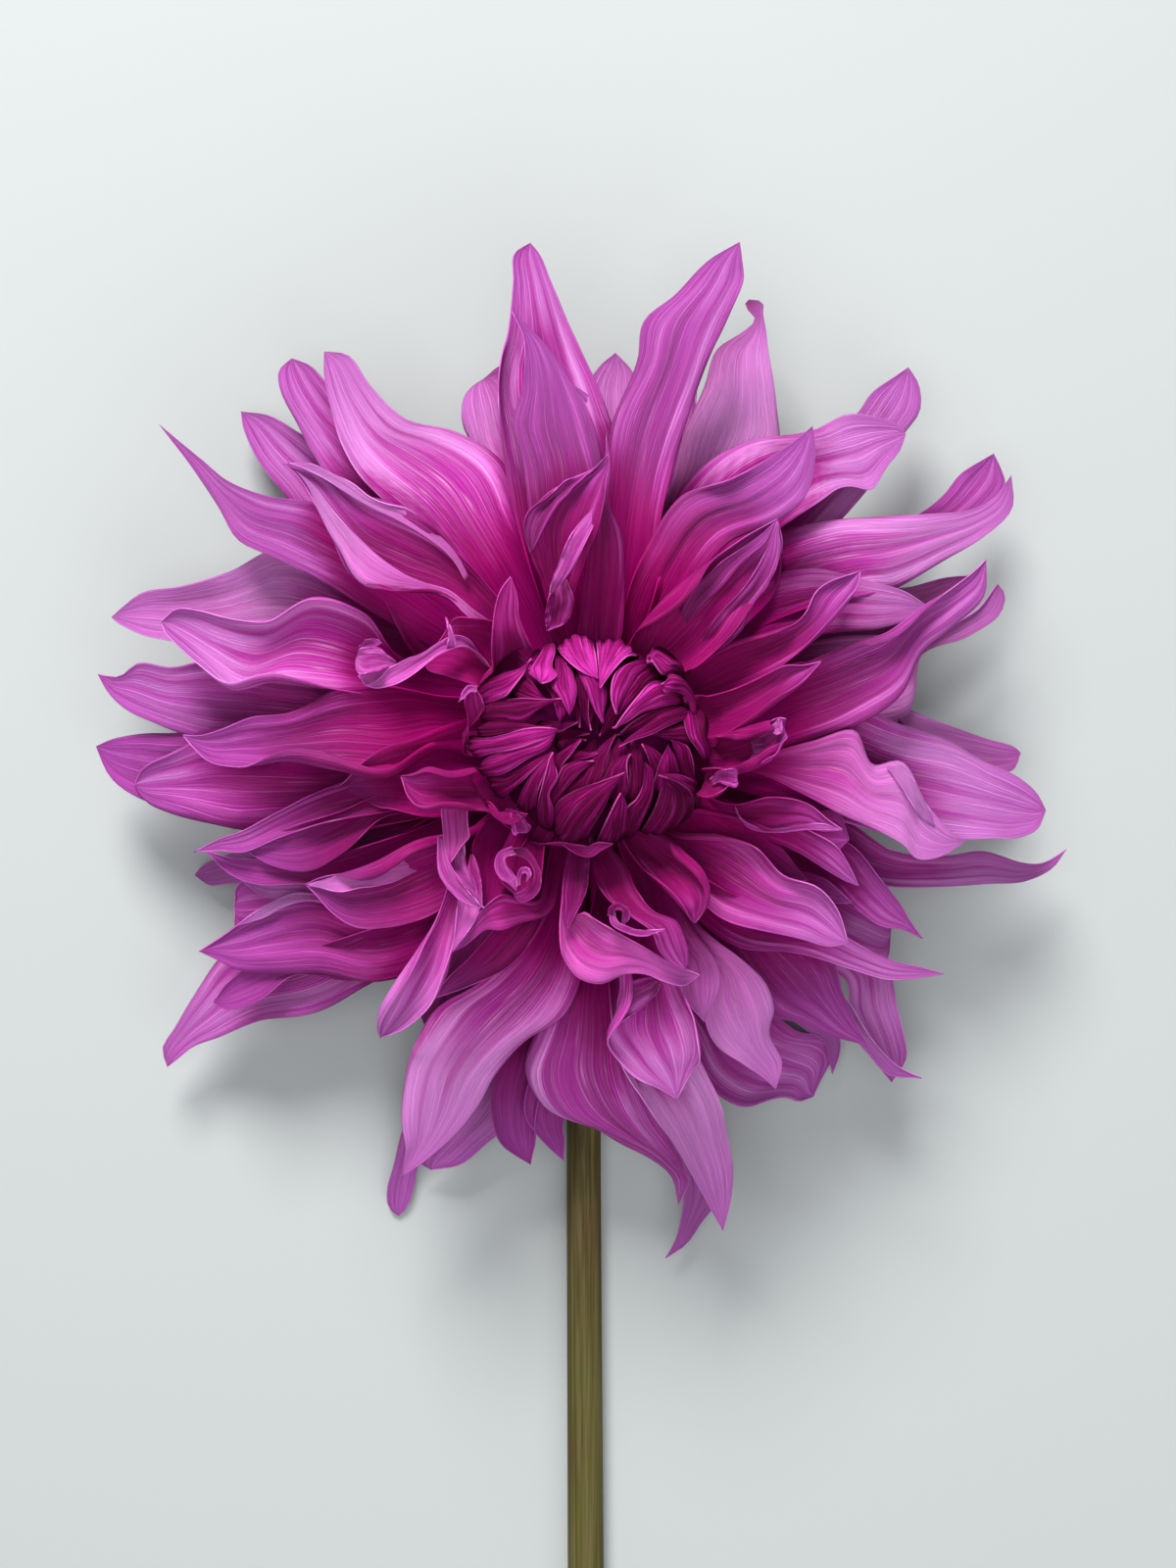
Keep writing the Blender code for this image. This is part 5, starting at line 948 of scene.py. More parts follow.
def streak_group():
    """Fine veins along a petal, from its own map: where they lie, how they shade and how they stand."""
    group = bpy.data.node_groups.new("petal_veins", "ShaderNodeTree")
    face = group.interface
    face.new_socket("Map", in_out="INPUT", socket_type="NodeSocketVector")
    for name, value in (("Lines", 26.0), ("Wander", 0.035)):
        face.new_socket(name, in_out="INPUT", socket_type="NodeSocketFloat").default_value = value
    for name in ("Veins", "Ribs", "Blotches", "Edge", "Along", "Height"):
        face.new_socket(name, in_out="OUTPUT", socket_type="NodeSocketFloat")
    outer = add_node(group, "NodeGroupInput")
    inner = add_node(group, "NodeGroupOutput")
    parts = add_node(group, "ShaderNodeSeparateXYZ")
    group.links.new(outer.outputs["Map"], parts.inputs[0])
    along, side = parts.outputs[0], parts.outputs[1]
    lines = outer.outputs["Lines"]
    wander = add_node(group, "ShaderNodeTexNoise", noise_dimensions="2D")
    feed(group, wander, Vector=outer.outputs["Map"], Scale=5.0, Detail=3.0)
    shift = times(group, maths(group, "SUBTRACT", wander.outputs[0], 0.5), outer.outputs["Wander"])
    crosswise = maths(group, "ADD", side, shift)
    veins = flat_noise(group, times(group, along, 1.4), times(group, crosswise, lines), 4.0, 0.62)
    broad = flat_noise(group, times(group, along, 1.3), times(group, side, 5.0), 2.0)
    few_lines = times(group, crosswise, times(group, lines, 0.25))
    sparse = flat_noise(group, times(group, along, 0.9), few_lines, 1.0)
    off_middle = maths(group, "ABSOLUTE", maths(group, "SUBTRACT", side, 0.5))
    from_line = maths(group, "ABSOLUTE", maths(group, "SUBTRACT", sparse, 0.5))
    vein = span(group, veins, 0.38, 0.66)
    rib = span(group, from_line, 0.022, 0.0)
    feed(group, inner, Veins=vein, Ribs=rib, Along=along, Blotches=span(group, broad, 0.3, 0.7),
         Edge=span(group, off_middle, 0.455, 0.5), Height=maths(group, "MULTIPLY_ADD", rib, 0.5, vein))
    return group


def from_axis(tree):
    """How far a point lies from the bloom's axis, in metres."""
    where = add_node(tree, "ShaderNodeTexCoord")
    flat = add_node(tree, "ShaderNodeVectorMath", operation="MULTIPLY_ADD")
    feed(tree, flat, i0=where.outputs["Object"], i1=(1.0, 1.0, 0.0), i2=(-AXIS_X * MM, -AXIS_Y * MM, 0.0))
    reach = add_node(tree, "ShaderNodeVectorMath", operation="LENGTH")
    feed(tree, reach, i0=flat.outputs[0])
    return reach.outputs["Value"]


MAUVE = (0.44, 0.11, 0.50)
CREAM = (1.0, 0.34, 0.46)
ROSE = (1.0, 0.15, 0.80)
# Distances from the bloom's axis, in metres, between which a colour sets in
REACHES = {
    "paler": (0.035, 0.110), "outer pale": (0.055, 0.095), "mauve": (0.035, 0.095), "open": (0.026, 0.076),
    "tip": (0.04, 0.09), "outer veins": (0.04, 0.085),
}


def petal_material(name, colours, veins_group, lines=72.0, vein_share=0.26, glow=0.2, roughness=0.55,
                   rim_highlight_share=0.12, near_vein=CREAM, near_pale=ROSE, crevice_shade=0.2):
    """A petal's face or back: crimson streaked claw, body, violet tip, veins, a faint thin rim of painted
    highlight and painted shade where it lies deep.
    """
    claw, deep, middling, pale, tip, vein, dark_vein, rim = colours
    material, tree, shader = new_material(name, roughness, 0.04)
    own_map = add_node(tree, "ShaderNodeUVMap", uv_map="UVMap")
    marks = add_node(tree, "ShaderNodeGroup", node_tree=veins_group)
    feed(tree, marks, Map=own_map.outputs[0], Lines=lines)
    veins, along = marks.outputs["Veins"], marks.outputs["Along"]
    painted_shade_depth = mark_of(tree, "painted_shade_depth")
    reach = from_axis(tree)

    # The body: deep, middling or pale by the petal's tone, a mottle, a paling away from the axis that is
    # partly the petal's own deeper base and partly painted shade near the heart, and painted shade by the
    # depth in the bloom
    mottle = maths(tree, "MULTIPLY_ADD", marks.outputs["Blotches"], 0.75, -0.33)
    paler = maths(tree, "ADD", mottle, span(tree, reach, *REACHES["paler"], -0.2, 0.14))
    paleness = maths(tree, "ADD", mark_of(tree, "tone"), paler)
    paleness = maths(tree, "MULTIPLY_ADD", painted_shade_depth, -0.6, paleness)
    body = tint(tree, times(tree, paleness, 2.0), deep, middling)
    palest = tint(tree, span(tree, reach, *REACHES["outer pale"]), near_pale, pale)
    body = tint(tree, span(tree, paleness, 0.46, 1.05), body, palest)
    # Greyed to mauve: partly the petal's own lilac, partly a painted sheen that fades out where it lies deep
    greyed = times(tree, mark_of(tree, "mauve"), span(tree, reach, *REACHES["mauve"], 0.1, 0.7))
    greyed = times(tree, greyed, maths(tree, "SUBTRACT", 1.0, painted_shade_depth))
    body = tint(tree, greyed, body, MAUVE)

    # The crimson claw near the axis and the violet tip
    open_part = times(tree, span(tree, along, 0.10, 0.5), span(tree, reach, *REACHES["open"]))
    closed_part = times(tree, mark_of(tree, "flush"), maths(tree, "SUBTRACT", 1.0, open_part))
    open_part = maths(tree, "SUBTRACT", 1.0, closed_part)
    colour = tint(tree, open_part, claw, body)
    tipped = times(tree, span(tree, along, 0.6, 1.0, 0.0, 0.7), span(tree, reach, *REACHES["tip"], 0.1, 1.0))
    colour = tint(tree, tipped, colour, tip)

    # Light veins, fine ribs, dark furrows and the thin rim's painted highlight
    streak = times(tree, veins, vein_share)
    streak = times(tree, streak, maths(tree, "MULTIPLY_ADD", open_part, 0.85, 0.15))
    streak = times(tree, streak, span(tree, paleness, 0.0, 0.7, 0.25, 1.0))
    colour = tint(tree, streak, colour, vein)
    fine = times(tree, marks.outputs["Ribs"], vein_share * 1.9)
    fine = times(tree, fine, span(tree, paleness, 0.0, 0.5, 0.3, 1.0))
    fine = times(tree, fine, span(tree, along, 0.95, 0.6))
    vein_shade = tint(tree, span(tree, reach, *REACHES["outer veins"]), near_vein, vein)
    colour = tint(tree, times(tree, fine, open_part), colour, vein_shade)
    furrow = times(tree, maths(tree, "SUBTRACT", 1.0, veins), vein_share * 0.8)
    colour = tint(tree, times(tree, furrow, open_part), colour, dark_vein)
    edge = times(tree, times(tree, marks.outputs["Edge"], rim_highlight_share), open_part)
    edge = times(tree, edge, span(tree, paleness, 0.0, 0.6, 0.4, 1.0))
    colour = tint(tree, edge, colour, rim)

    # Painted shade: darker where it lies deep between others, and near black in the deepest crevices
    colour = tint(tree, times(tree, painted_shade_depth, 0.7), colour, deep)
    darkest = tuple(0.2 * value for value in deep)
    colour = tint(tree, span(tree, painted_shade_depth, 0.25, 0.9, 0.0, crevice_shade), colour, darkest)
    tree.links.new(colour, shader.inputs["Base Color"])
    emboss(tree, shader, marks.outputs["Height"], 0.7, 0.0005)

    # Light that comes through the thin sheet
    shining = add_node(tree, "ShaderNodeBsdfTranslucent")
    tree.links.new(colour, shining.inputs["Color"])
    mixed = add_node(tree, "ShaderNodeMixShader")
    feed(tree, mixed, i0=glow, i1=shader.outputs[0], i2=shining.outputs[0])
    tree.links.new(mixed.outputs[0], tree.nodes["Material Output"].inputs["Surface"])
    return material


petal_veins = streak_group()
# Colours in turn: claw, deep, middling and pale body, tip, light vein, dark vein, rim's painted highlight
FACE_COLOURS = (
    (0.50, 0.0, 0.17), (0.31, 0.0, 0.14), (0.61, 0.016, 0.43), (1.0, 0.38, 0.97),
    (0.56, 0.10, 0.56), (1.0, 0.54, 0.94), (0.30, 0.0, 0.22), (0.76, 0.28, 0.74),
)
BACK_COLOURS = (
    (0.40, 0.0, 0.16), (0.38, 0.005, 0.26), (0.60, 0.10, 0.52), (0.96, 0.36, 0.94),
    (0.50, 0.15, 0.54), (0.90, 0.44, 0.86), (0.34, 0.03, 0.32), (0.72, 0.30, 0.74),
)
petal_face = petal_material("petal_face", FACE_COLOURS, petal_veins)
petal_back = petal_material("petal_back", BACK_COLOURS, petal_veins, vein_share=0.3)


def fill_row():
    """Petals between the rows, each with its root, its reach and its tip set by its place in the spiral."""
    draw = np.random.default_rng(FILL_SEED)
    petals = []
    for place in range(FILL_COUNT):
        share = place / (FILL_COUNT - 1)
        angle = GOLDEN_ANGLE * place
        reach = between(FILL_REACHES, share) + draw.uniform(-4, 4)
        petal = Petal(reach * math.cos(angle), reach * math.sin(angle), between(FILL_TIP_HEIGHTS, share),
                      FILL_WIDTH, draw.uniform(-5, 5), between((18, 8), share), draw.uniform(-15, 15),
                      25, 25, draw.uniform(-4, 4))
        petals.append((petal, (between(FILL_ROOT_HEIGHTS, share), CORE_SEAT_RADIUS)))
    return petals


# Rows of plainly bent petals, each with its root's height and radius, their tones and their mauve; the fill
# row's lower tone is painted shade in the gaps that it fills
BENT_ROWS = {"back": [(petal, HIDDEN_ROOT) for petal in HIDDEN_PETALS], "between": fill_row()}
BENT_TONES, BENT_MAUVE = {"back": 0.45, "between": 0.25}, 0.3
# How crimson a row's claws are, where less than fully, and how crinkled its edges are
FLUSHES = {"inner": 0.6, "collar": 0.5}
CRINKLES = {"back": 0.5, "second": 0.5, "third": 0.7, "fourth": 0.9, "inner": 1.1, "collar": 0.9}
# A folded margin starts out on its petal, farther than this from the axis, and has no claw
FOLD_START = 20.0
# How deep in the bloom a row's petals get their full painted shade, and the cells and the circle that this
# depth is measured in
FULL_DEPTH, FULL_DEPTHS = 16.0, {"back": 70.0, "second": 30.0}
SHADE_DEPTH_CELL, SHADE_DEPTH_SPREAD = 2.0, 10.0
# A row's seeds start at its place times the first number, its plainly bent petals' the second after it
ROW_SEEDS, BENT_SEEDS = 1000, 50
blank = flat_grid("petal_blank", PETAL_ALONG, PETAL_ACROSS)


def row_petals(name, row_seed):
    """Every petal of a row: those drawn rib by rib, then those that are bent from a few measures."""
    flush = FLUSHES.get(name, 1.0)
    petals = []
    for number, (marks, ribs) in enumerate(DRAWN_PETALS.get(name, [])):
        draw = np.random.default_rng(row_seed + number)
        root_out = math.hypot(ribs[0][0] + ribs[0][2], ribs[0][1] + ribs[0][3]) / 2
        petals.append(shaped_copy(
            blank, f"{name}_{number}",
            lambda along, across: settled(drawn_sheet(marks, ribs, CRINKLES[name], along, across, draw)),
            tone=marks[0], mauve=marks[1], flush=flush if root_out < FOLD_START else 0.0,
        ))
    for number, (petal, root) in enumerate(BENT_ROWS.get(name, [])):
        draw = np.random.default_rng(row_seed + BENT_SEEDS + number)
        outline = outline_of(petal, draw)
        petals.append(shaped_copy(
            blank, f"{name}_back_{number}",
            lambda along, across: settled(bent_sheet(petal, outline, root, along, across, draw)),
            tone=BENT_TONES[name] + 0.1 * math.sin(2.4 * number), mauve=BENT_MAUVE, flush=flush,
        ))
    return petals


bloom = {}
depths = []
for place, name in enumerate([*DRAWN_PETALS, "between"]):
    bloom[name] = row_petals(name, ROW_SEEDS * place)
    depths += [FULL_DEPTHS.get(name, FULL_DEPTH)] * len(bloom[name])
mark_painted_shade_depth([petal for petals in bloom.values() for petal in petals], depths, SHADE_DEPTH_CELL, SHADE_DEPTH_SPREAD)
for name, petals in bloom.items():
    row = join_sheets(petals, f"{name}_petals", PETAL_THICKNESS, petal_face, petal_back)
    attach(row, "root")
    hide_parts("petals")
bpy.data.objects.remove(blank, do_unlink=True)


# Heart. The florets in the middle are still closed: stiff pointed tongues, keeled and ridged, that
# bend in over one another towards a sunken vortex, on the dark dome of the receptacle.
HEART_DENT, DENT_SHARE = 9.0, 0.36
DOME_INSET = 3.0
FLORET_ALONG, FLORET_ACROSS = 38, 22
FLORET_THICKNESS = 0.4
FLORET_SEED = 500
# How far a floret's root lies below its first rib, and how near the heart's rim it may lie
ROOT_DROP, ROOT_REACH = 9.0, 0.86
# How deep between the florets the heart gets its full painted shade, and the cells and the circle that this
# depth is measured in
HEART_FULL_DEPTH, HEART_CELL, HEART_SPREAD = 4.5, 1.0, 4.0

# Each floret: its tone, how far it stands off the dome, and its ribs from root to tip as left edge
# x and y and right edge x and y, all as seen by the eye. At the tip both edges meet in one x and y.
# A floret's tone is partly its own shade and partly painted light: those towards the top, where the light
# falls, are paler.
HEART_FLORETS = [
    (0.62, 3.6, ((0.7, 25.5, -8.4, 24), (1.3, 22.4, -6.9, 21.5), (1.7, 19.7, -3.8, 18.6),
     (2, 17.7, -0.6, 17), (2.2, 16))),
    (0.6, 4, ((11.8, 21.3, 1.4, 25.6), (8.6, 20.1, 1.8, 21.7), (6.1, 18, 2.2, 18.8), (4.2, 15.7, 2.5, 16.3),
     (2.7, 13.7))),
    (0.4, 3.6, ((14.9, 19, 11.5, 20.5), (11.9, 17, 7.4, 18.6), (9.7, 13.4, 5.5, 15.2),
     (8.1, 10.7, 5.3, 11.2), (6.6, 7))),
    (0.2, 2.2, ((19.1, 15.7, 14.9, 18.8), (15.3, 14.8, 12.2, 17), (12.2, 11.6, 10.4, 14.3),
     (9.5, 8.9, 8.1, 10.5), (7.4, 6.9))),
    (0.42, 3.8, ((22.9, 9.8, 18.4, 15.3), (17.8, 8.8, 14.9, 14.7), (13.1, 7.4, 11.9, 11.4),
     (9.5, 5.3, 8.6, 7.4), (5.9, 3.3))),
    (0.16, 3.4, ((24.9, 5.8, 23.2, 8.7), (19.8, 3.8, 17.8, 6.8), (14.9, 1.5, 14.2, 4.1),
     (10.8, 0.2, 10.4, 1.3), (7.4, -1.4))),
    (0.1, 1.4, ((25.2, -1.4, 25.6, 5.3), (20.7, 0.2, 20.2, 3.5), (17.1, 1.5, 16.2, 2.2), (14.2, 2.6))),
    (0.24, 3.6, ((30.3, 3.8, 23.6, 5.8), (29.9, 0.4, 24.7, 1.7), (30.2, -2.3, 27, -1.8), (29.8, -5.7))),
    (0.06, 1.6, ((15.8, -9, 22.9, -7.4), (15.3, -5.9, 19.3, -4.1), (14.4, -3.2, 16.6, -2.1), (13.2, -0.6))),
    (0.18, 3.2, ((15.8, -10.8, 23.6, -8.6), (16.9, -7.4, 22.7, -6.3), (18.2, -4.1, 21.6, -3.6),
     (19.3, -2.1, 20.6, -2.1), (19.9, -0.8))),
    (0.14, 2.2, ((23.4, -9, 27.9, -10.4), (23.2, -6.3, 26.3, -8.1), (21.8, -2.7, 25.6, -4.5),
     (21.1, -0.5, 24.7, -1.4), (20.9, 0.3))),
    (0.26, 5, ((27.2, -17.1, 27.9, -14.9), (25.8, -13.1, 27.8, -10.8), (23.4, -10.9, 25.2, -9.2),
     (20.7, -9.4, 21.4, -8.3), (17.5, -8.6))),
    (0.1, 3, ((13.1, -22.3, 22.9, -21.1), (16.2, -17.1, 26.1, -17.1), (17.8, -12.6, 25.6, -13.1),
     (18.4, -9.9, 22.5, -10.4), (18.2, -8.8))),
    (0.12, 3.4, ((8.6, -23.8, 11.3, -23.4), (9.5, -16.2, 14, -18.4), (11.9, -14.2, 15.8, -14),
     (13.5, -10.8, 16.2, -9.5), (13.9, -7.2, 15.7, -6.9), (14.1, -5.3))),
    (0.16, 4.4, ((1.4, -25.4, 8.1, -25.2), (3, -22, 9.5, -21.6), (4.8, -18, 9.4, -18),
     (6.3, -15.3, 9.1, -15.3), (7.8, -13.1))),
    (0.08, 3.4, ((-9.8, -18.9, -1.7, -24.7), (-7.6, -14.9, 1.4, -20.2), (-2.2, -11.7, 3.9, -16.2),
     (2.7, -10.1, 5.7, -12.2), (6.3, -8.8, 7.4, -9.9), (8.8, -7.9))),
    (0.12, 2.2, ((1.4, -11.7, 8.6, -14.9), (3.6, -9, 9.9, -11.7), (5.7, -5.7, 9.7, -7.7),
     (8.1, -4.1, 9.7, -5), (10.5, -3.1))),
    (0.02, 0.6, ((9.5, -14.9, 13.5, -13.5), (10.1, -8.6, 13.7, -8.1), (9.9, -4.1, 13.3, -4.5),
     (10.1, -1.4, 12.2, -1.4), (10.8, 0.2))),
    (0.14, 1.6, ((-2.6, -10.8, 1.8, -11.7), (-0.9, -7.4, 3.2, -9), (1.2, -3.2, 4.3, -4.5),
     (3.9, -0.3, 5.4, -0.9), (6.7, 1.8))),
    (0.02, 0.4, ((3.4, -9.5, 8.1, -5), (4.8, -4.5, 9.5, -3.2), (5.9, -1.4, 9, -0.9), (7.2, 0.9))),
    (0, 0.2, ((-9.8, -16.4, -8, -17.1), (-6.2, -11.7, -2.6, -12.2), (-3.1, -8.6, 0.5, -9.9),
     (-0.4, -6.3, 2.7, -7.4), (3.6, -3.6))),
    (0.16, 2.8, ((-10.9, -14, -9.6, -16.6), (-8.5, -9.9, -7.1, -13.1), (-6.7, -6.3, -4, -9.5),
     (-4, -5.1, -1.5, -7), (1, -4.9))),
    (0.2, 1.6, ((-5.8, -3.9, -5.3, -5.2), (-3.1, -2.3, -2.2, -4.8), (-0.9, -3, -0.2, -4.1), (2.1, -2.9))),
    (0.16, 2.4, ((-9.8, -6.3, -8, -8.6), (-8.7, -3.6, -6.9, -5.9), (-6.2, -1.8, -4.7, -3.2), (-2.2, 0.5))),
    (0.26, 3.6, ((-18.4, -15.8, -13.6, -16.2), (-17.5, -13.1, -13.2, -13.1), (-14.8, -8.6, -11.8, -9),
     (-12.1, -5.4, -10.5, -5.9), (-9.6, -2.8))),
    (0.18, 4.6, ((-12.7, -21.1, -9.6, -21.5), (-13.4, -16.6, -9.3, -17.3), (-12.3, -11.7, -10.3, -13.1),
     (-11.2, -7.2, -8.3, -8.8), (-10.3, -4.1, -9.3, -5.2), (-9.4, -2.7))),
    (0.16, 2.6, ((-25.5, -6.8, -21.9, -14.2), (-21.3, -8.1, -18.8, -11.5), (-17, -5.9, -15.2, -8.1),
     (-13, -3.9, -12.1, -5), (-9.8, -2.8))),
    (0.42, 5, ((-30.7, 1.5, -28.2, -4.3), (-25.5, 1, -23.7, -2.7), (-21, 2.1, -18.8, -1.8),
     (-16.6, 3.3, -13.9, -0.1), (-11.6, 3.7, -9.8, 1.5), (-8.3, 3.2))),
    (0.4, 4.2, ((-27.8, -5, -27.1, -8.6), (-23.7, -2.8, -21.3, -7.9), (-17.5, -1.5, -15.7, -4.3),
     (-12.1, 0.4, -10.7, -1.4), (-8.4, 3.1))),
    (0.2, 3.2, ((-26, 5.1, -27.8, 1.3), (-21, 5.3, -21.9, 2), (-17, 4.7, -17.5, 3.1), (-13, 3.8, -13, 3.3),
     (-9.8, 3.5))),
    (0.1, 3.6, ((-26.7, 9.4, -26, 5.3), (-21.9, 10.6, -21.3, 5.4), (-17, 11, -17, 5),
     (-12.5, 10.8, -13.4, 8), (-9.4, 10.9, -9.8, 10), (-7.3, 11))),
    (0.4, 5, ((-28, 13.3, -27.1, 9.3), (-24.6, 16, -23.3, 10.7), (-21.3, 17.5, -19.9, 12.5),
     (-18.4, 18.3, -17.5, 16.3), (-14.9, 21.1))),
    (0.18, 1.8, ((-11.6, 5.3, -12.5, 3.3), (-8, 5.1, -8, 2.4), (-5.3, 5.2, -5.3, 3.8), (-3, 5))),
    (0.3, 2.6, ((-9.8, 15.2, -12.3, 15), (-8, 11.6, -9.8, 11.6), (-6.2, 8, -8.8, 8), (-7.7, 5.1))),
    (0.44, 4.2, ((-5.8, 19.2, -8.9, 21.3), (-4.4, 17.5, -9, 16.6), (-3.5, 14.3, -9.8, 14.3),
     (-3.6, 11.2, -7.6, 11.2), (-4.4, 8.5, -6, 8.3), (-5.3, 6.8))),
    (0.56, 4.8, ((-8.8, 25.3, -11.6, 24.4), (-8.8, 22.8, -13, 21.9), (-9.5, 18.8, -14.8, 19.5),
     (-8.5, 17, -15.7, 17.9), (-10.3, 15.4, -14.1, 16.3), (-12.3, 14.9))),
    (0.44, 3.6, ((-13, 23.3, -14.5, 22.6), (-13.4, 21.3, -15.3, 20.1), (-15.7, 18.4))),
    (0.26, 1.8, ((-17, 17, -20.4, 12.5), (-14.8, 15.2, -17.5, 11.1), (-12.5, 12.3, -13.9, 10.9),
     (-11.2, 10.8))),
    (0.34, 6, ((23.2, 15.4, 24.3, 15.7), (21.1, 17.4, 23.4, 19), (18, 16.8, 20.2, 21.7),
     (15.8, 18.8, 17.1, 23.4), (14.6, 20.1))),
    (0.34, 6, ((25.8, 7.4, 27, 7.6), (24.9, 10.7, 26.7, 11.2), (22, 12.7, 24.9, 14.8),
     (19.1, 12.4, 21.8, 16.9), (18.2, 14.6))),
    (0.04, 0, ((-8, 3.3, -7.6, 0.9), (-4.4, 3.3, -4, 1.3), (-2.2, 2.6, -2, 1.5), (0.1, 2))),
    (0.06, 0, ((-7.6, 0.9, -7.1, -1.8), (-4.4, 1.3, -3.8, -0.5), (-2.4, 0.9, -2.2, 0), (-0.9, 0.3))),
    (0.02, -0.6, ((12.6, 4.4, 9.9, 5.8), (10.4, 3.1, 8.6, 4.4), (8.6, 2, 7.4, 2.9), (5.9, 1.3))),
    (0.02, -0.8, ((-2.6, -3.6, 1.4, -4.5), (-1.3, -1.8, 1.8, -2.7), (-0.2, -0.5, 1.6, -1.4), (1.4, 0.9))),
    (0.02, -0.8, ((5, -2.7, 8.6, -1.8), (5.4, -0.9, 7.4, -0.5), (5.4, 0.2, 6.6, 0.4), (5.2, 1.5))),
    (0.04, -0.4, ((3.6, 8, 1.4, 8), (3.2, 5.3, 1.4, 5.8), (2.5, 3.5, 1.5, 3.8), (1.8, 2))),
    (0.22, 1.6, ((-0.9, 15.7, -3.5, 17.5), (-0.3, 11.2, -3.2, 11.6), (-0.3, 7.1, -2, 7.1),
     (0, 4.7, -0.8, 4.7), (0.3, 2.8))),
    (0.46, 3.2, ((2.3, 15.9, -3.5, 18.6), (4.2, 13.4, -1.5, 14.3), (4.2, 11.2, 0, 10.7), (3.6, 8, 1.6, 7.4),
     (3.1, 4.8))),
    (0.16, 1.4, ((8.1, 6.2, 5, 9.4), (6.3, 4.7, 3.9, 7.1), (4.5, 3, 3.3, 4.4), (2.4, 1.4))),
    (0.1, 1.2, ((22.9, 7.6, 21.1, 9.4), (16.6, 5.3, 14.9, 7.4), (12.2, 2.9, 10.8, 5.1), (7.7, 2.2))),
    (0.12, 0.4, ((1.4, 9.8, -0.2, 9.8), (1.3, 7.6, 0, 7.1), (0.1, 5.1))),
    (0.2, 0.6, ((-2.6, 9.8, -5.3, 9.4), (-2.4, 6.7, -4.2, 7.6), (-2.6, 3.6))),
]


def on_heart(polar, azimuth, lift):
    """A point of the heart's dome, raised by a lift in millimetres off its skin."""
    flat = np.sin(polar)
    way = np.stack([flat * np.cos(azimuth), flat * np.sin(azimuth), np.cos(polar)], axis=-1)
    skin = way * (HEART_RADIUS_X - DOME_INSET, HEART_RADIUS_Y - DOME_INSET, HEART_RISE - DOME_INSET)
    dent = HEART_DENT * np.exp(-(flat / DENT_SHARE) ** 2) * (np.cos(polar) > 0)
    return UP * HEART_EQUATOR + skin + way * lift[..., None] - dent[..., None] * UP


def dome_height(x, y):
    """Height of the heart's dome over a place, sunken in its middle and falling away past its rim."""
    out = np.hypot(x / (HEART_RADIUS_X - DOME_INSET), y / (HEART_RADIUS_Y - DOME_INSET))
    rise = (HEART_RISE - DOME_INSET) * np.sqrt(np.maximum(1 - 0.9 * out ** 2, 0.02))
    dent = HEART_DENT * np.exp(-(out / DENT_SHARE) ** 2)
    return HEART_EQUATOR + rise - 20 * np.maximum(out - 1.02, 0) - dent


def over_dome(x, y, lift):
    """The point that the eye sees at x, y and that stands off the heart's dome by a lift."""
    height = HEART_EQUATOR + HEART_RISE / 2
    for _ in range(6):
        point = as_seen(x, y, height)
        height = dome_height(point[0], point[1]) + lift
    return as_seen(x, y, height)


def floret_edge(points, layer, tilt):
    """One edge of a closed floret: it comes up out of the dome, then lies over its neighbours."""
    shares = np.linspace(0, 1, len(points)) ** 0.7
    edge = [over_dome(x, y, -1.0 + (layer + 1.0 + tilt * share) * (0.35 + 0.65 * share))
            for (x, y), share in zip(points, shares)]
    root = edge[0] + 0.3 * (edge[0] - edge[1]) * (1, 1, 0)
    inwards = min(1.0, ROOT_REACH / math.hypot(root[0] / HEART_RADIUS_X, root[1] / HEART_RADIUS_Y))
    root = root * (inwards, inwards, 1) - UP * ROOT_DROP
    return np.array([root, *edge])


def floret_sheet(layer, ribs, along, across, draw):
    """A closed floret: keeled down its middle, ridged on both sides, its edges where they are seen."""
    tilt = draw.uniform(-0.9, 0.9)
    ribs = with_tip(ribs)
    edges = [floret_edge([rib[k:k + 2] for rib in ribs], layer, turn) for k, turn in ((0, tilt), (2, -tilt))]
    line, out, half, facing = between_edges(edges, along)
    facing = unit(facing + 0.3 * np.where(facing[:, 2:] < 0, -UP, UP))
    facing = facing * np.where(facing[:, 2:] < 0, -1.0, 1.0)
    side = np.abs(across - draw.uniform(-0.15, 0.15))
    keel = draw.uniform(0.3, 0.6) * (1 - side ** draw.uniform(0.9, 1.5))
    ridges = 0.07 * np.cos(side * math.pi * draw.uniform(3.0, 4.5)) * np.sin(np.clip(side, 0, 1) * math.pi)
    lift = np.outer(half, keel + ridges)
    for half_side in (1, -1):
        lip = draw.uniform(-0.1, 0.5) * np.exp(-((along - draw.uniform(0.6, 0.9)) / 0.2) ** 2)
        lift += np.outer(half * lip, np.clip((across * half_side - 0.6) / 0.4, 0, 1) ** 1.5)
    return line[:, None] + out[:, None] * across[None, :, None] + facing[:, None] * lift[..., None]


# The same colours in turn as the petals', darker and more crimson
HEART_COLOURS = (
    (0.05, 0.0, 0.012), (0.10, 0.0, 0.034), (0.33, 0.0, 0.155), (0.90, 0.05, 0.60),
    (0.30, 0.0, 0.15), (0.86, 0.08, 0.54), (0.08, 0.0, 0.035), (0.88, 0.16, 0.58),
)
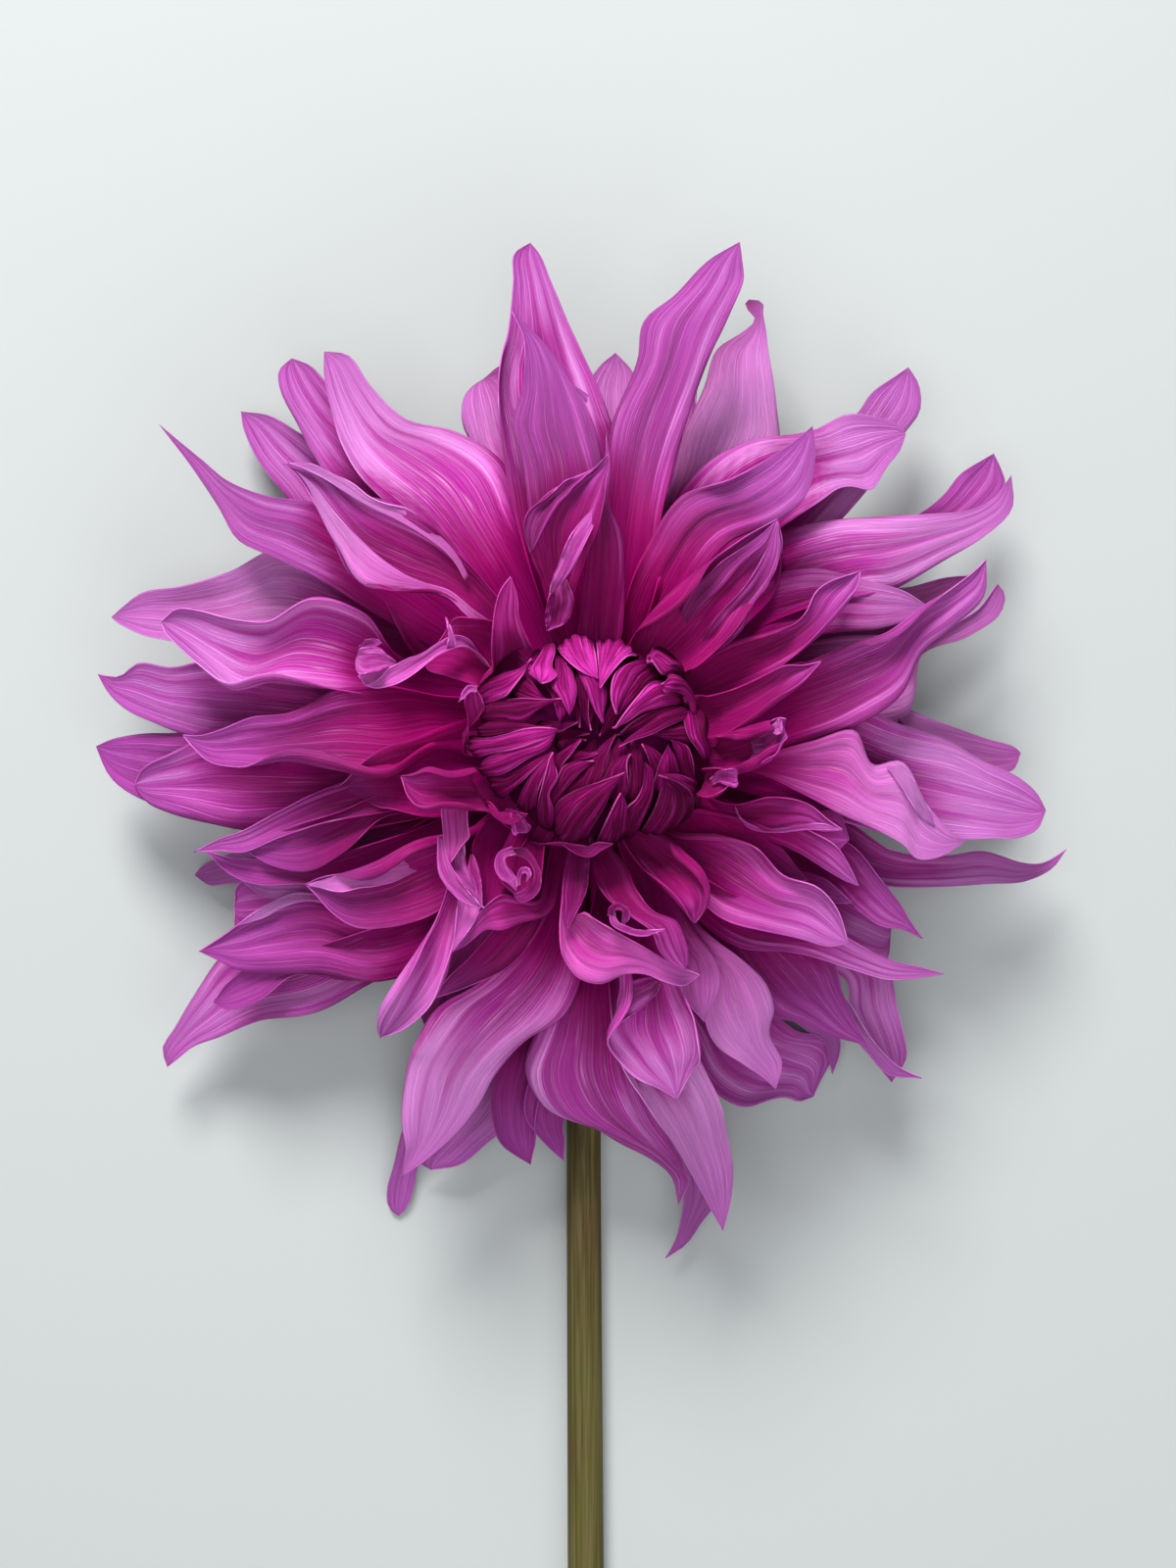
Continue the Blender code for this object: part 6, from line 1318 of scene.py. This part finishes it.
# Its rims carry a stronger painted highlight, and its crevices a near-black painted shade
heart_skin = petal_material(
    "heart_skin", HEART_COLOURS, petal_veins, lines=24.0, vein_share=0.34, glow=0.03, roughness=0.45,
    rim_highlight_share=0.45, near_vein=(0.84, 0.10, 0.54), near_pale=HEART_COLOURS[3], crevice_shade=0.95,
)
floret_blank = flat_grid("floret_blank", FLORET_ALONG, FLORET_ACROSS)
florets = []
for place, (tone, layer, ribs) in enumerate(HEART_FLORETS):
    draw = np.random.default_rng(FLORET_SEED + place)
    florets.append(shaped_copy(
        floret_blank, f"floret_{place}", lambda along, across: floret_sheet(layer, ribs, along, across, draw),
        tone=0.22 + 1.45 * tone, flush=0.15, mauve=0.0,
    ))
mark_painted_shade_depth(florets, [HEART_FULL_DEPTH] * len(florets), HEART_CELL, HEART_SPREAD)
heart = join_sheets(florets, "heart_florets", FLORET_THICKNESS, heart_skin, heart_skin)
bpy.data.objects.remove(floret_blank, do_unlink=True)
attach(heart, "root")
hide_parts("heart")


# Receptacle. The fleshy dome that every floret grows from; its near-black wine, which shows between their
# claws, is partly its own colour and partly painted shade in those gaps. It is turned from the profile of the
# part's own core, and the heart's dome sits on its flat top.
CORE_BOTTOM, CORE_TOP = 38.0, 73.5
CORE_RADIUS = 22.0
SEAT_GAP = 0.3
# How far the dome lies below the heart's skin, and its centre below the last point of its outline
DOME_DROP, CENTRE_DROP = 3.5, 0.01
# How many points outline the core's side and the dome, how many sides they have, and when points merge
CORE_STATIONS, DOME_STATIONS = 12, 24
DOME_SIDES = 48
MERGE_DISTANCE = 0.00001


def weld(body, capped=False):
    """Joins the points that meet along a grid's seam, caps an open end and turns the faces outward."""
    bpy.context.view_layer.objects.active = body
    bpy.ops.object.mode_set(mode="EDIT")
    bpy.ops.mesh.select_all(action="SELECT")
    bpy.ops.mesh.remove_doubles(threshold=MERGE_DISTANCE)
    if capped:
        bpy.ops.mesh.select_all(action="DESELECT")
        bpy.ops.mesh.select_non_manifold(
            extend=False, use_wire=False, use_boundary=True, use_multi_face=False, use_non_contiguous=False,
            use_verts=False,
        )
        bpy.ops.mesh.edge_face_add()
        bpy.ops.mesh.select_all(action="SELECT")
    bpy.ops.mesh.normals_make_consistent(inside=False)
    bpy.ops.object.mode_set(mode="OBJECT")


def turned_skin(profile, around):
    """Points of a body of revolution about the bloom's axis, from its radii and heights."""
    radius, height = np.array(profile).T
    turn = (around + 1) * math.pi
    return np.stack([np.outer(radius, np.cos(turn)), np.outer(radius, np.sin(turn)),
                     np.outer(height, np.ones_like(turn))], axis=-1)


def dome_profile():
    """The receptacle from its underside, up past the petals' claws, and over the heart's dented dome."""
    side = [(CORE_SEAT_RADIUS + (CORE_RADIUS - CORE_SEAT_RADIUS) * math.sin(math.pi * share),
             between((CORE_BOTTOM, CORE_TOP), share)) for share in np.linspace(0, 1, CORE_STATIONS)]
    dome = []
    for polar in np.radians(np.linspace(100, 0, DOME_STATIONS)):
        point = on_heart(np.array(polar), np.array(0.0), np.array(-DOME_DROP))
        dome.append((float(point[0]), float(point[2])))
    above = [(r, z) for r, z in dome if z > CORE_TOP]
    return [(0.0, CORE_BOTTOM)] + side + above + [(0.0, dome[-1][1] - CENTRE_DROP)]


profile = dome_profile()
receptacle = flat_grid("receptacle", len(profile) - 1, DOME_SIDES)
shape_grid(receptacle, lambda along, across: turned_skin(profile, across))
weld(receptacle)
bpy.ops.object.shade_smooth()
receptacle_skin, receptacle_tree, receptacle_shader = new_material("receptacle_skin", 0.8, 0.05)
# Near-black wine with a fine grain: partly the receptacle's own colour, partly painted shade between the
# florets
grain = add_node(receptacle_tree, "ShaderNodeTexNoise")
grain.inputs["Scale"].default_value = 400.0
grained = span(receptacle_tree, grain.outputs[0], 0.3, 0.7)
wine = tint(receptacle_tree, grained, (0.09, 0.0, 0.04), (0.05, 0.0, 0.03))
receptacle_tree.links.new(wine, receptacle_shader.inputs["Base Color"])
receptacle.data.materials.append(receptacle_skin)
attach(receptacle, "root")
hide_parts("petals", "heart")


# Stalk. A round, faintly ribbed green stem that widens into the receptacle behind the bloom. It
# lies on the table from its cut end and bends up into the bloom, and it is one smooth tube.
STEM_NECK_RADIUS = 4.5
# Its middle line from the cut end, along the table and up to the receptacle
STEM_ROUTE = (
    (-0.9, -STEM_REACH, STEM_CUT_RADIUS), (-1.2, -210, 5.1), (-1.5, -150, 5.5), (-1.6, -100, 7.0),
    (-1.2, -66, 9.6), (-0.6, -36, 14.0), (-0.2, -14, 21.0), (0, -3.5, 29.0), (0, 0, CORE_BOTTOM - SEAT_GAP),
)
# Its radius at shares of its length
SWELLING = (
    (0.0, STEM_CUT_RADIUS), (0.9, STEM_NECK_RADIUS), (0.94, 4.9), (0.965, 7.5), (0.985, 12.0), (1.0, 14.0),
)
STEM_STATIONS, STEM_SIDES = 160, 64
RIBS, RIB_HEIGHT = 11, 0.07
CREASE_ANGLE = math.radians(40)
# How finely each stretch of a route is followed before its points are spaced evenly
ROUTE_STEPS = 24


def smooth_path(points, steps):
    """Points spaced evenly along a smooth curve through those given."""
    given = np.asarray(points, dtype=float)
    padded = np.concatenate([2 * given[:1] - given[1:2], given, 2 * given[-1:] - given[-2:-1]])
    runs = []
    for a, b, c, d in zip(padded, padded[1:], padded[2:], padded[3:]):
        t = np.linspace(0, 1, ROUTE_STEPS, endpoint=False)[:, None]
        runs.append(0.5 * (2 * b + (c - a) * t + (2 * a - 5 * b + 4 * c - d) * t ** 2
                           + (3 * b - a - 3 * c + d) * t ** 3))
    fine = np.concatenate(runs + [given[-1:]])
    travelled = np.concatenate([[0], np.cumsum(np.linalg.norm(np.diff(fine, axis=0), axis=1))])
    at = np.linspace(0, travelled[-1], steps)
    return np.stack([np.interp(at, travelled, fine[:, axis]) for axis in range(3)], axis=-1)


def stalk_surface(along, around):
    """Points of the stalk's skin for places along it and turns round it."""
    route = smooth_path(STEM_ROUTE, len(along))
    ahead = unit(np.gradient(route, axis=0))
    ahead[0] = (0, 1, 0)
    ahead[-1] = UP
    across = unit(np.cross(ahead, (1.0, 0.0, 0.0)))
    side = np.cross(ahead, across)
    places, radii = zip(*SWELLING)
    radius = np.interp(along, places, radii)[:, None] * np.ones(len(around))
    radius = radius + RIB_HEIGHT * (np.cos(RIBS * around + 2.0 * along[:, None]) - 1)
    points = (route[:, None] + across[:, None] * (radius * np.cos(around))[..., None]
              + side[:, None] * (radius * np.sin(around))[..., None])
    points[..., 2] = np.clip(points[..., 2], 0.0, CORE_BOTTOM - SEAT_GAP)
    return points


stalk = flat_grid("stalk", STEM_STATIONS, STEM_SIDES)
shape_grid(stalk, lambda along, across: stalk_surface(along, (across + 1) * math.pi))
weld(stalk, capped=True)
bpy.ops.object.shade_smooth_by_angle(angle=CREASE_ANGLE)
# Greens and browns: towards the cut end and towards the bloom, then the mottles' and the streaks'
NEAR_CUT, NEAR_BLOOM = (0.070, 0.062, 0.012), (0.058, 0.032, 0.014)
BROWN, GREEN = (0.085, 0.047, 0.018), (0.05, 0.062, 0.008)
PALE_STREAK, DARK_STREAK = (0.125, 0.105, 0.042), (0.030, 0.024, 0.006)


def stalk_material():
    """Olive green skin, browner near the bloom, mottled and with fine lengthwise streaks."""
    material, tree, shader = new_material("stalk_skin", 0.65, 0.15)
    where = add_node(tree, "ShaderNodeTexCoord").outputs["Object"]
    parts = add_node(tree, "ShaderNodeSeparateXYZ")
    tree.links.new(where, parts.inputs[0])
    stretch = add_node(tree, "ShaderNodeMapping")
    feed(tree, stretch, Vector=where, Scale=(1300.0, 22.0, 1300.0))
    streak_noise = add_node(tree, "ShaderNodeTexNoise")
    streaks = feed(tree, streak_noise, Vector=stretch.outputs[0], Scale=1.0, Detail=4.0).outputs[0]
    mottle_noise = add_node(tree, "ShaderNodeTexNoise")
    mottle = feed(tree, mottle_noise, Vector=where, Scale=55.0, Detail=4.0).outputs[0]
    colour = tint(tree, span(tree, parts.outputs[1], -0.15, 0.06), NEAR_CUT, NEAR_BLOOM)
    colour = tint(tree, span(tree, mottle, 0.48, 0.68, 0.0, 0.6), colour, BROWN)
    colour = tint(tree, span(tree, mottle, 0.46, 0.30, 0.0, 0.7), colour, GREEN)
    colour = tint(tree, span(tree, streaks, 0.40, 0.66, 0.0, 0.7), colour, PALE_STREAK)
    colour = tint(tree, span(tree, streaks, 0.42, 0.30, 0.0, 0.6), colour, DARK_STREAK)
    tree.links.new(colour, shader.inputs["Base Color"])
    emboss(tree, shader, streaks, 0.3, 0.0003)
    return material


stalk.data.materials.append(stalk_material())
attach(stalk, "root")
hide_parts("stem")

# Bracts. Seven narrow green leaflets grow in a ring from the receptacle's underside and bend down
# behind the bloom. Each is a leathery blade under a millimetre thick, broadest near its middle.
BRACT_COUNT = 7
# Each one's middle line, as distances from the axis and heights
BRACT_ROUTE = ((9.0, 33.5), (17.0, 33.0), (24.0, 29.0), (28.0, 22.0))
BRACT_WIDTH = 8.0
BRACT_THICKNESS = 0.8
BRACT_ALONG, BRACT_ACROSS = 28, 12


def bract_sheet(turn, along, across):
    """One leaflet that leaves the cone outwards and bends down, cupped along its middle."""
    outward = np.array([math.cos(turn), math.sin(turn), 0.0])
    side = np.cross(UP, outward)
    route = smooth_path([outward * radius + UP * height for radius, height in BRACT_ROUTE], len(along))
    over = np.cross(unit(np.gradient(route, axis=0)), side)
    half = BRACT_WIDTH / 2 * (0.7 + 0.3 * np.sin(along * math.pi)) * (1 - 0.96 * np.clip(along, 0, 1) ** 3)
    cup = 0.16 * np.outer(half, across ** 2)
    cup -= 0.25 * np.outer(np.sin(along * math.pi), np.exp(-(across / 0.1) ** 2))
    return route[:, None] + side * np.outer(half, across)[..., None] + over[:, None] * cup[..., None]


def bract_material():
    """Dull leaf green with paler lengthwise veins from its own map, and a yellower tip."""
    material, tree, shader = new_material("bract_skin", 0.55)
    own_map = add_node(tree, "ShaderNodeUVMap", uv_map="UVMap")
    marks = add_node(tree, "ShaderNodeGroup", node_tree=petal_veins)
    feed(tree, marks, Map=own_map.outputs[0], Lines=30.0)
    colour = tint(tree, marks.outputs["Blotches"], (0.075, 0.12, 0.02), (0.12, 0.17, 0.035))
    colour = tint(tree, times(tree, marks.outputs["Veins"], 0.4), colour, (0.22, 0.27, 0.08))
    colour = tint(tree, span(tree, marks.outputs["Along"], 0.6, 1.0, 0.0, 0.5), colour, (0.20, 0.17, 0.05))
    tree.links.new(colour, shader.inputs["Base Color"])
    emboss(tree, shader, marks.outputs["Height"], 0.4, 0.0003)
    return material


bract_skin = bract_material()
bract_blank = flat_grid("bract_blank", BRACT_ALONG, BRACT_ACROSS)
leaflets = []
for place in range(BRACT_COUNT):
    turn = 2 * math.pi * (place + 0.5) / BRACT_COUNT + math.pi / 2
    leaflets.append(shaped_copy(
        bract_blank, f"bract_{place}", lambda along, across: bract_sheet(turn, along, across)
    ))
bracts = join_sheets(leaflets, "bracts", BRACT_THICKNESS, bract_skin, bract_skin)
bpy.data.objects.remove(bract_blank, do_unlink=True)
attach(bracts, "root")
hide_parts("stem")
